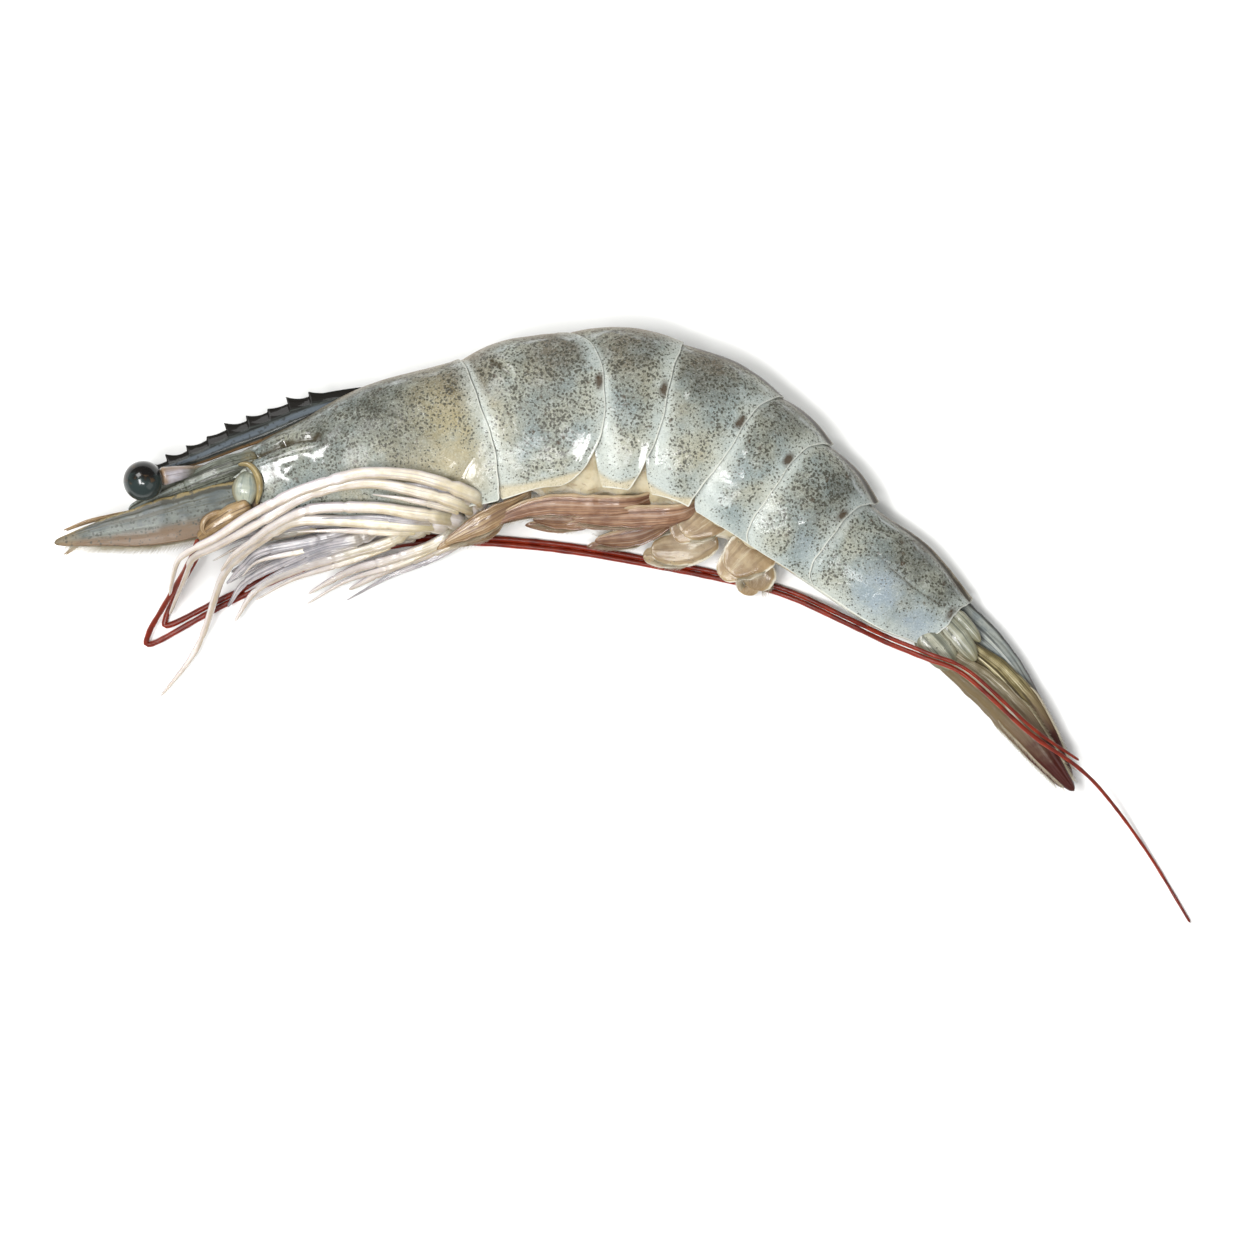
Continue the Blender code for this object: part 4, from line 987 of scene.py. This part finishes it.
    # Painted highlight: the rolled rim and its side face are painted pale, most towards the lower edge,
    # partly for the thin clear shell and partly as a painted highlight.
    rolled_rim_highlight = ramp(tree, mark["edge"], 0.1, 0.3, 1.0, 0.0)
    lower = ramp(tree, mark["way"], 0.4, 0.75, 0.4, 0.85)
    colour = blend(tree, maths(tree, "MULTIPLY", rolled_rim_highlight, lower), colour, "#D0D1C6")

    film = cloudy(tree, place, 1.1, 3.0)
    waves = cloudy(tree, place, 3.6, 2.0)
    still = ramp(tree, mark["wet"], 0.2, 0.8, 0.6, 0.1)
    bump = add(tree, "Bump", Height=film, Distance=0.08 * MM, Strength=still)
    bump = add(tree, "Bump", Height=waves, Distance=0.35 * MM, Strength=still, Normal=bump)
    pools = ramp(tree, clouds, 0.54, 0.66, 0.0, 0.25)
    wet = maths(tree, "MULTIPLY", maths(tree, "MAXIMUM", mark["wet"], pools), wander)
    surface = add(tree, "BsdfPrincipled", Base_Color=colour, Roughness=ramp(tree, wet, 0.2, 0.9, 0.5, 0.2),
                  Normal=bump, IOR=1.45, Specular_IOR_Level=0.25,
                  Subsurface_Weight=0.15, Subsurface_Radius=(1.0, 0.9, 0.7), Subsurface_Scale=0.8 * MM,
                  Coat_Weight=ramp(tree, wet, 0.15, 0.8, 0.2, 1.0), Coat_Roughness=0.08, Coat_IOR=1.4,
                  Coat_Normal=bump)
    add(tree, "OutputMaterial", surface)
    return made


def rostrum_finish():
    """The same chitin as the shell, thicker and darker, with black-brown tips to the teeth."""
    made, tree = start_finish("dark_blade_chitin")
    place = add(tree, "TexCoord", out="Object")
    up, share = attribute(tree, "up"), attribute(tree, "share")
    lines = add(tree, "CombineXYZ", maths(tree, "MULTIPLY", share, 5.0),
                maths(tree, "MULTIPLY", up, 9.0), 0.0)
    streak = add(tree, "TexNoise", lines, Scale=1.6, Detail=4.0, Roughness=0.6)
    speck = cloudy(tree, place, 0.7, 3.0)
    colour = blend(tree, ramp(tree, streak, 0.38, 0.62), linear("#191A18"), "#3C403D")
    light = maths(tree, "ABSOLUTE", maths(tree, "SUBTRACT", up, 0.42))
    colour = tint(tree, colour, "#66707A", light, 0.05, 0.16, 0.5, 0.0)
    colour = tint(tree, colour, "#8A6C49", up, 0.02, 0.16, 0.85, 0.0)
    colour = tint(tree, colour, "#24241F", speck, 0.55, 0.65, 0.0, 0.6)
    colour = tint(tree, colour, "#120F0B", attribute(tree, "tooth"), 0.3, 0.65, 0.0, 0.97)
    bump = add(tree, "Bump", Height=streak, Distance=0.15 * MM, Strength=0.6)
    surface = add(tree, "BsdfPrincipled", Base_Color=colour, Roughness=0.5, Normal=bump, IOR=1.45,
                  Specular_IOR_Level=0.1, Coat_Weight=0.2, Coat_Roughness=0.06, Coat_IOR=1.4)
    add(tree, "OutputMaterial", surface)
    return made


def meat_finish():
    """Raw meat under a thin belly skin: cream, cloudy and moist, with grey and pinkish veins."""
    made, tree = start_finish("raw_belly_meat")
    place = add(tree, "TexCoord", out="Object")
    clouds = cloudy(tree, place, 4.0, 4.0, 0.6)
    veins = add(tree, "TexNoise", place, Scale=per(1.6), Detail=3.0, Distortion=1.5)
    colour = blend(tree, ramp(tree, clouds, 0.35, 0.65), linear("#AA9B79"), "#D0C5A8")
    colour = tint(tree, colour, "#8C6E55", veins, 0.55, 0.72, 0.0, 0.5)
    bump = add(tree, "Bump", Height=veins, Distance=0.25 * MM, Strength=0.5)
    surface = add(tree, "BsdfPrincipled", Base_Color=colour, Roughness=0.35, Normal=bump, IOR=1.45,
                  Subsurface_Weight=0.3, Subsurface_Radius=(1.0, 0.7, 0.45), Subsurface_Scale=1.6 * MM,
                  Coat_Weight=0.8, Coat_Roughness=0.08, Coat_IOR=1.4)
    add(tree, "OutputMaterial", surface)
    return made


def eye_finish():
    """A compound eye: a clear wet cornea over black pigment, grey-blue below and brown near its stalk."""
    made, tree = start_finish("wet_cornea")
    place = add(tree, "TexCoord", out="Object")
    clouds = cloudy(tree, place, 1.9, 4.0, 0.6)
    wander = add(tree, "MapRange", clouds, 0.3, 0.7, -0.4, 0.4)
    level = maths(tree, "ADD", attribute(tree, "up"), wander)
    colour = blend(tree, ramp(tree, level, 0.45, -0.1), linear("#0D0A08"), "#27302F")
    colour = tint(tree, colour, "#5A4632", clouds, 0.56, 0.7, 0.0, 0.5)
    colour = tint(tree, colour, "#77593A", attribute(tree, "stalk"), 0.7, 0.95, 0.0, 0.9)
    facets = add(tree, "TexVoronoi", place, Scale=per(0.12), out="Distance")
    bump = add(tree, "Bump", Height=facets, Distance=0.01 * MM, Strength=0.3)
    surface = add(tree, "BsdfPrincipled", Base_Color=colour, Roughness=0.2, Normal=bump, IOR=1.4,
                  Specular_IOR_Level=0.3, Coat_Weight=0.6, Coat_Roughness=0.02, Coat_IOR=1.4)
    add(tree, "OutputMaterial", surface)
    return made


def streaked_finish(name, ground, streaks, patches, roughness=0.35, subsurface=0.25, stretch=(0.8, 3.5),
                    dots=None, coat=0.8):
    """Thin skin or horn that grew lengthwise: its streaks follow the limb, and patches are bands along it.
    A streak is where it starts and ends in the grain, its strength and its colour. A patch is the mark it
    follows, where it starts and ends, its strength and its colour. Dots is how crowded its speckles are."""
    made, tree = start_finish(name)
    place = add(tree, "TexCoord", out="Object")
    share, across = attribute(tree, "share"), attribute(tree, "across")
    marks = {"share": share, "across": across, "rim": maths(tree, "ABSOLUTE", across)}
    lines = add(tree, "CombineXYZ", maths(tree, "MULTIPLY", share, stretch[0]),
                maths(tree, "MULTIPLY", across, stretch[1]), 0.0)
    drift = add(tree, "TexNoise", place, Scale=per(14.0), Detail=1.0, out="Color")
    streak = add(tree, "TexNoise", add(tree, "VectorMath", lines, drift, operation="ADD"), Scale=1.6,
                 Detail=5.0, Roughness=0.65)
    clouds = cloudy(tree, place, 2.6, 4.0, 0.6)
    colour = blend(tree, ramp(tree, clouds, 0.33, 0.67), linear(ground[0]), ground[1])
    for start, end, strength, code in streaks:
        colour = tint(tree, colour, code, streak, start, end, 0.0, strength)
    wander = add(tree, "MapRange", clouds, 0.3, 0.7, -0.08, 0.08)
    for mark, start, end, strength, code in patches:
        shifted = maths(tree, "ADD", marks[mark], wander)
        colour = tint(tree, colour, code, shifted, start, end, 0.0, strength)
    if dots:
        crowd = add(tree, "MapRange", clouds, 0.4, 0.6, dots - 0.12, dots + 0.1)
        kinds = ((0.6, 1.0, 0.75, "#33332C"), (0.36, 0.8, 0.4, "#4C4D45"))
        colour = speckled(tree, place, colour, crowd, kinds)
    bump = add(tree, "Bump", Height=streak, Distance=0.15 * MM, Strength=0.5)
    surface = add(tree, "BsdfPrincipled", Base_Color=colour, Roughness=roughness, Normal=bump, IOR=1.45,
                  Specular_IOR_Level=0.3, Subsurface_Weight=subsurface, Subsurface_Radius=(1.0, 0.8, 0.6),
                  Subsurface_Scale=0.8 * MM, Coat_Weight=coat, Coat_Roughness=0.07, Coat_IOR=1.4)
    add(tree, "OutputMaterial", surface)
    return made


def make_floor():
    """A plain pale table top under the shrimp."""
    bm = bmesh.new()
    bmesh.ops.create_grid(bm, x_segments=1, y_segments=1, size=FLOOR_HALF)
    mesh = bpy.data.meshes.new("table_top")
    bm.to_mesh(mesh)
    bm.free()
    made, tree = start_finish("pale_matt_board")
    surface = add(tree, "BsdfPrincipled", Base_Color=linear("#F3F3F1"), Roughness=0.7)
    add(tree, "OutputMaterial", surface)
    mesh.materials.append(made)
    floor = bpy.data.objects.new("table_top", mesh)
    bpy.context.scene.collection.objects.link(floor)


def make_light(name, place, size, power):
    """A softbox: an area light that faces the shrimp."""
    data = bpy.data.lights.new(name, "AREA")
    data.shape = "RECTANGLE"
    data.size, data.size_y = size
    data.energy = power
    made = bpy.data.objects.new(name, data)
    made.location = place
    made.rotation_mode = "QUATERNION"
    made.rotation_quaternion = (Vector(LIGHT_TARGET) - Vector(place)).to_track_quat("-Z", "Y")
    bpy.context.scene.collection.objects.link(made)


def make_world():
    """Even white studio light from all round."""
    world = bpy.data.worlds.new("studio")
    world.use_nodes = True
    background = world.node_tree.nodes["Background"]
    background.inputs["Color"].default_value = linear("#F2F4F6")
    background.inputs["Strength"].default_value = WORLD_STRENGTH
    bpy.context.scene.world = world


def make_camera():
    """A long lens straight above, with the shrimp across nine tenths of the frame."""
    low, high = CAD_BOX
    data = bpy.data.cameras.new("camera")
    data.lens = LENS
    field = (high.x - low.x) / FRAME_SHARE
    distance = field * data.lens / data.sensor_width
    camera = bpy.data.objects.new("camera", data)
    camera.location = ((low.x + high.x) / 2, (low.y + high.y) / 2, distance)
    bpy.context.scene.collection.objects.link(camera)
    bpy.context.scene.camera = camera
    bpy.context.scene.view_settings.view_transform = "Standard"


SHELL = shell_finish()
BLADE = rostrum_finish()
MEAT = meat_finish()
CORNEA = eye_finish()
# Painted shade darkens both side edges of each leg and hip, lilac-grey on one side and tan on the other.
LIMB = streaked_finish(
    "wet_leg_skin", ("#C8BDA4", "#E0D9C8"),
    ((0.5, 0.64, 0.6, "#978F98"), (0.46, 0.34, 0.8, "#EEEAE2")),
    (("share", 0.25, 0.5, 0.4, "#BDB5BF"), ("share", 0.22, 0.0, 0.7, "#C2B58C"),
     ("across", 0.3, 0.95, 0.5, "#9A919D"),
     ("across", -0.3, -0.95, 0.6, "#93805F")), stretch=(0.5, 2.2), coat=0.6)
FEEDING_LIMB = streaked_finish(
    "wet_grey_limb_skin", ("#8C898C", "#B3ADAE"),
    ((0.5, 0.64, 0.8, "#5E6066"), (0.46, 0.34, 0.8, "#DAD6D6")), (("share", 0.3, 0.0, 0.5, "#AC9C7C"),),
    stretch=(0.5, 3.5), coat=0.6)
STALK = streaked_finish(
    "wet_stalk_skin", ("#918C90", "#ADA8AC"), ((0.5, 0.64, 0.6, "#6C6461"),),
    (("share", 0.7, 0.3, 0.95, "#4C4B3C"), ("share", 0.86, 1.0, 0.8, "#7A5F3C"),
     ("across", 0.2, 0.8, 0.7, "#7A6142")))
SCALE = streaked_finish(
    "translucent_blade_horn", ("#454C4B", "#676C65"),
    ((0.52, 0.64, 0.8, "#3E3B2B"), (0.44, 0.34, 0.6, "#7F847D")),
    (("across", 0.05, -0.6, 0.9, "#6B543C"), ("across", 0.6, 0.74, 0.9, "#2C2918"),
     ("across", 0.84, 0.93, 0.85, "#7D6D44"), ("share", 0.8, 1.0, 0.6, "#7F6D50")),
    0.45, 0.1, (0.5, 3.0), dots=0.27, coat=0.1)
PEDUNCLE = streaked_finish(
    "dark_streaked_horn", ("#4E5147", "#6B6E62"),
    ((0.5, 0.58, 0.9, "#24241A"), (0.45, 0.38, 0.8, "#8F9794")),
    (("share", 0.12, 0.0, 0.5, "#7F6F48"),), 0.45, 0.1, (0.5, 4.0), dots=0.24, coat=0.25)
KNOB = streaked_finish(
    "clear_joint_skin", ("#8C938A", "#ABAF9E"), ((0.5, 0.64, 0.6, "#66706D"),),
    (("rim", 0.45, 1.0, 0.8, "#6F6446"), ("share", 0.3, 0.0, 0.7, "#5A5A45")), 0.25, 0.4, coat=0.5)
COLLAR = streaked_finish(
    "olive_collar_skin", ("#857347", "#A89669"),
    ((0.5, 0.62, 0.8, "#40402F"), (0.44, 0.34, 0.6, "#B7B49E")), (("rim", 0.6, 1.0, 0.6, "#5A4C30"),),
    0.4, 0.1)
TAN_SKIN = streaked_finish(
    "tan_joint_skin", ("#7C6342", "#A08762"),
    ((0.5, 0.62, 0.8, "#4C3926"), (0.44, 0.34, 0.6, "#C4B393")), (), coat=0.5)
# Skins of the swimmerets, by pair.
SWIMMERET_SKINS = {
    "1": streaked_finish(
        "tan_swimmeret_skin", ("#82684A", "#A48B67"),
        ((0.48, 0.6, 0.85, "#5C412D"), (0.44, 0.34, 0.7, "#C6B79F")), (), stretch=(0.4, 6.0), coat=0.5),
    "2": streaked_finish(
        "pink_swimmeret_skin", ("#74513A", "#98775C"),
        ((0.48, 0.6, 0.85, "#543626"), (0.44, 0.34, 0.7, "#AC9A8B")),
        (("across", 0.5, 0.95, 0.6, "#B8A684"),), stretch=(0.5, 4.5), coat=0.4),
    "4": streaked_finish(
        "cream_swimmeret_skin", ("#80694A", "#A08D6C"),
        ((0.5, 0.64, 0.6, "#6B5437"), (0.45, 0.36, 0.5, "#B8AC92")), (("rim", 0.86, 0.97, 0.9, "#D6CFBC"),),
        subsurface=0.35, stretch=(0.7, 2.6), dots=0.06, coat=0.3),
}
SWIMMERET_SKINS["3"] = SWIMMERET_SKINS["2"]
SWIMMERET_SKINS["5"] = SWIMMERET_SKINS["4"]
TAIL_SKINS = {
    "telson": streaked_finish(
        "slate_tail_horn", ("#6D7476", "#8F938C"),
        ((0.5, 0.6, 0.7, "#3B3D3A"), (0.46, 0.38, 0.6, "#B0B2A8")),
        (("rim", 0.72, 0.95, 0.9, "#1D1812"), ("share", 0.5, 0.85, 0.9, "#3E1109")),
        0.45, 0.05, (0.3, 3.0), coat=0.15),
    "inner": streaked_finish(
        "gold_tail_horn", ("#695E3C", "#8D825C"),
        ((0.5, 0.58, 0.9, "#3A3120"), (0.47, 0.4, 0.9, "#CFC8A8")),
        (("rim", 0.8, 1.0, 0.8, "#261C10"), ("share", 0.35, 0.6, 0.6, "#5A4634"),
         ("share", 0.55, 0.82, 0.97, "#3A0B05")), 0.45, 0.05, (0.3, 3.6), coat=0.1),
    "outer": streaked_finish(
        "cream_tail_horn", ("#776D54", "#9A9179"),
        ((0.5, 0.58, 0.85, "#5A4E36"), (0.47, 0.4, 0.8, "#DDD8C6")),
        (("across", -0.2, -0.9, 0.8, "#6B5B3F"), ("share", 0.3, 0.6, 0.75, "#5E4A38"),
         ("share", 0.55, 0.82, 0.97, "#3A0B05")), 0.45, 0.05, (0.3, 3.2), coat=0.1),
}
TAIL_KNOB = streaked_finish(
    "wet_tail_joint", ("#7D7E6C", "#A2A291"),
    ((0.5, 0.6, 0.85, "#55584E"), (0.44, 0.36, 0.6, "#CFD0C8")),
    (("share", 0.6, 1.0, 0.8, "#6F6847"), ("rim", 0.6, 1.0, 0.7, "#615A3E")),
    0.35, 0.2, (0.4, 3.6), dots=0.14, coat=0.5)
FEELER = streaked_finish(
    "wet_red_feeler", ("#6A1606", "#9C2E0E"), ((0.5, 0.7, 0.4, "#3A0E05"),),
    (("share", 0.1, -0.02, 0.6, "#8A4A33"), ("across", 0.3, 0.9, 0.5, "#3A0E05")),
    0.45, 0.0, (90.0, 1.0), coat=0.25)
HAIR = streaked_finish("fringe_hair", ("#8F8468", "#B5A98D"), ((0.5, 0.7, 0.4, "#6B5C44"),), (), 0.4, 0.1)

make_shells(SHELL)
make_rostrum(BLADE)
make_meat(MEAT)
make_eyes(CORNEA, STALK)
make_head_limbs()
make_feelers(FEELER)
make_legs(LIMB, FEEDING_LIMB)
make_swimmerets(SWIMMERET_SKINS, HAIR)
make_tail_fan(TAIL_SKINS, TAIL_KNOB, HAIR)

make_floor()
make_world()
make_camera()
for name, place, size, power in LIGHTS:
    make_light(name, place, size, power)
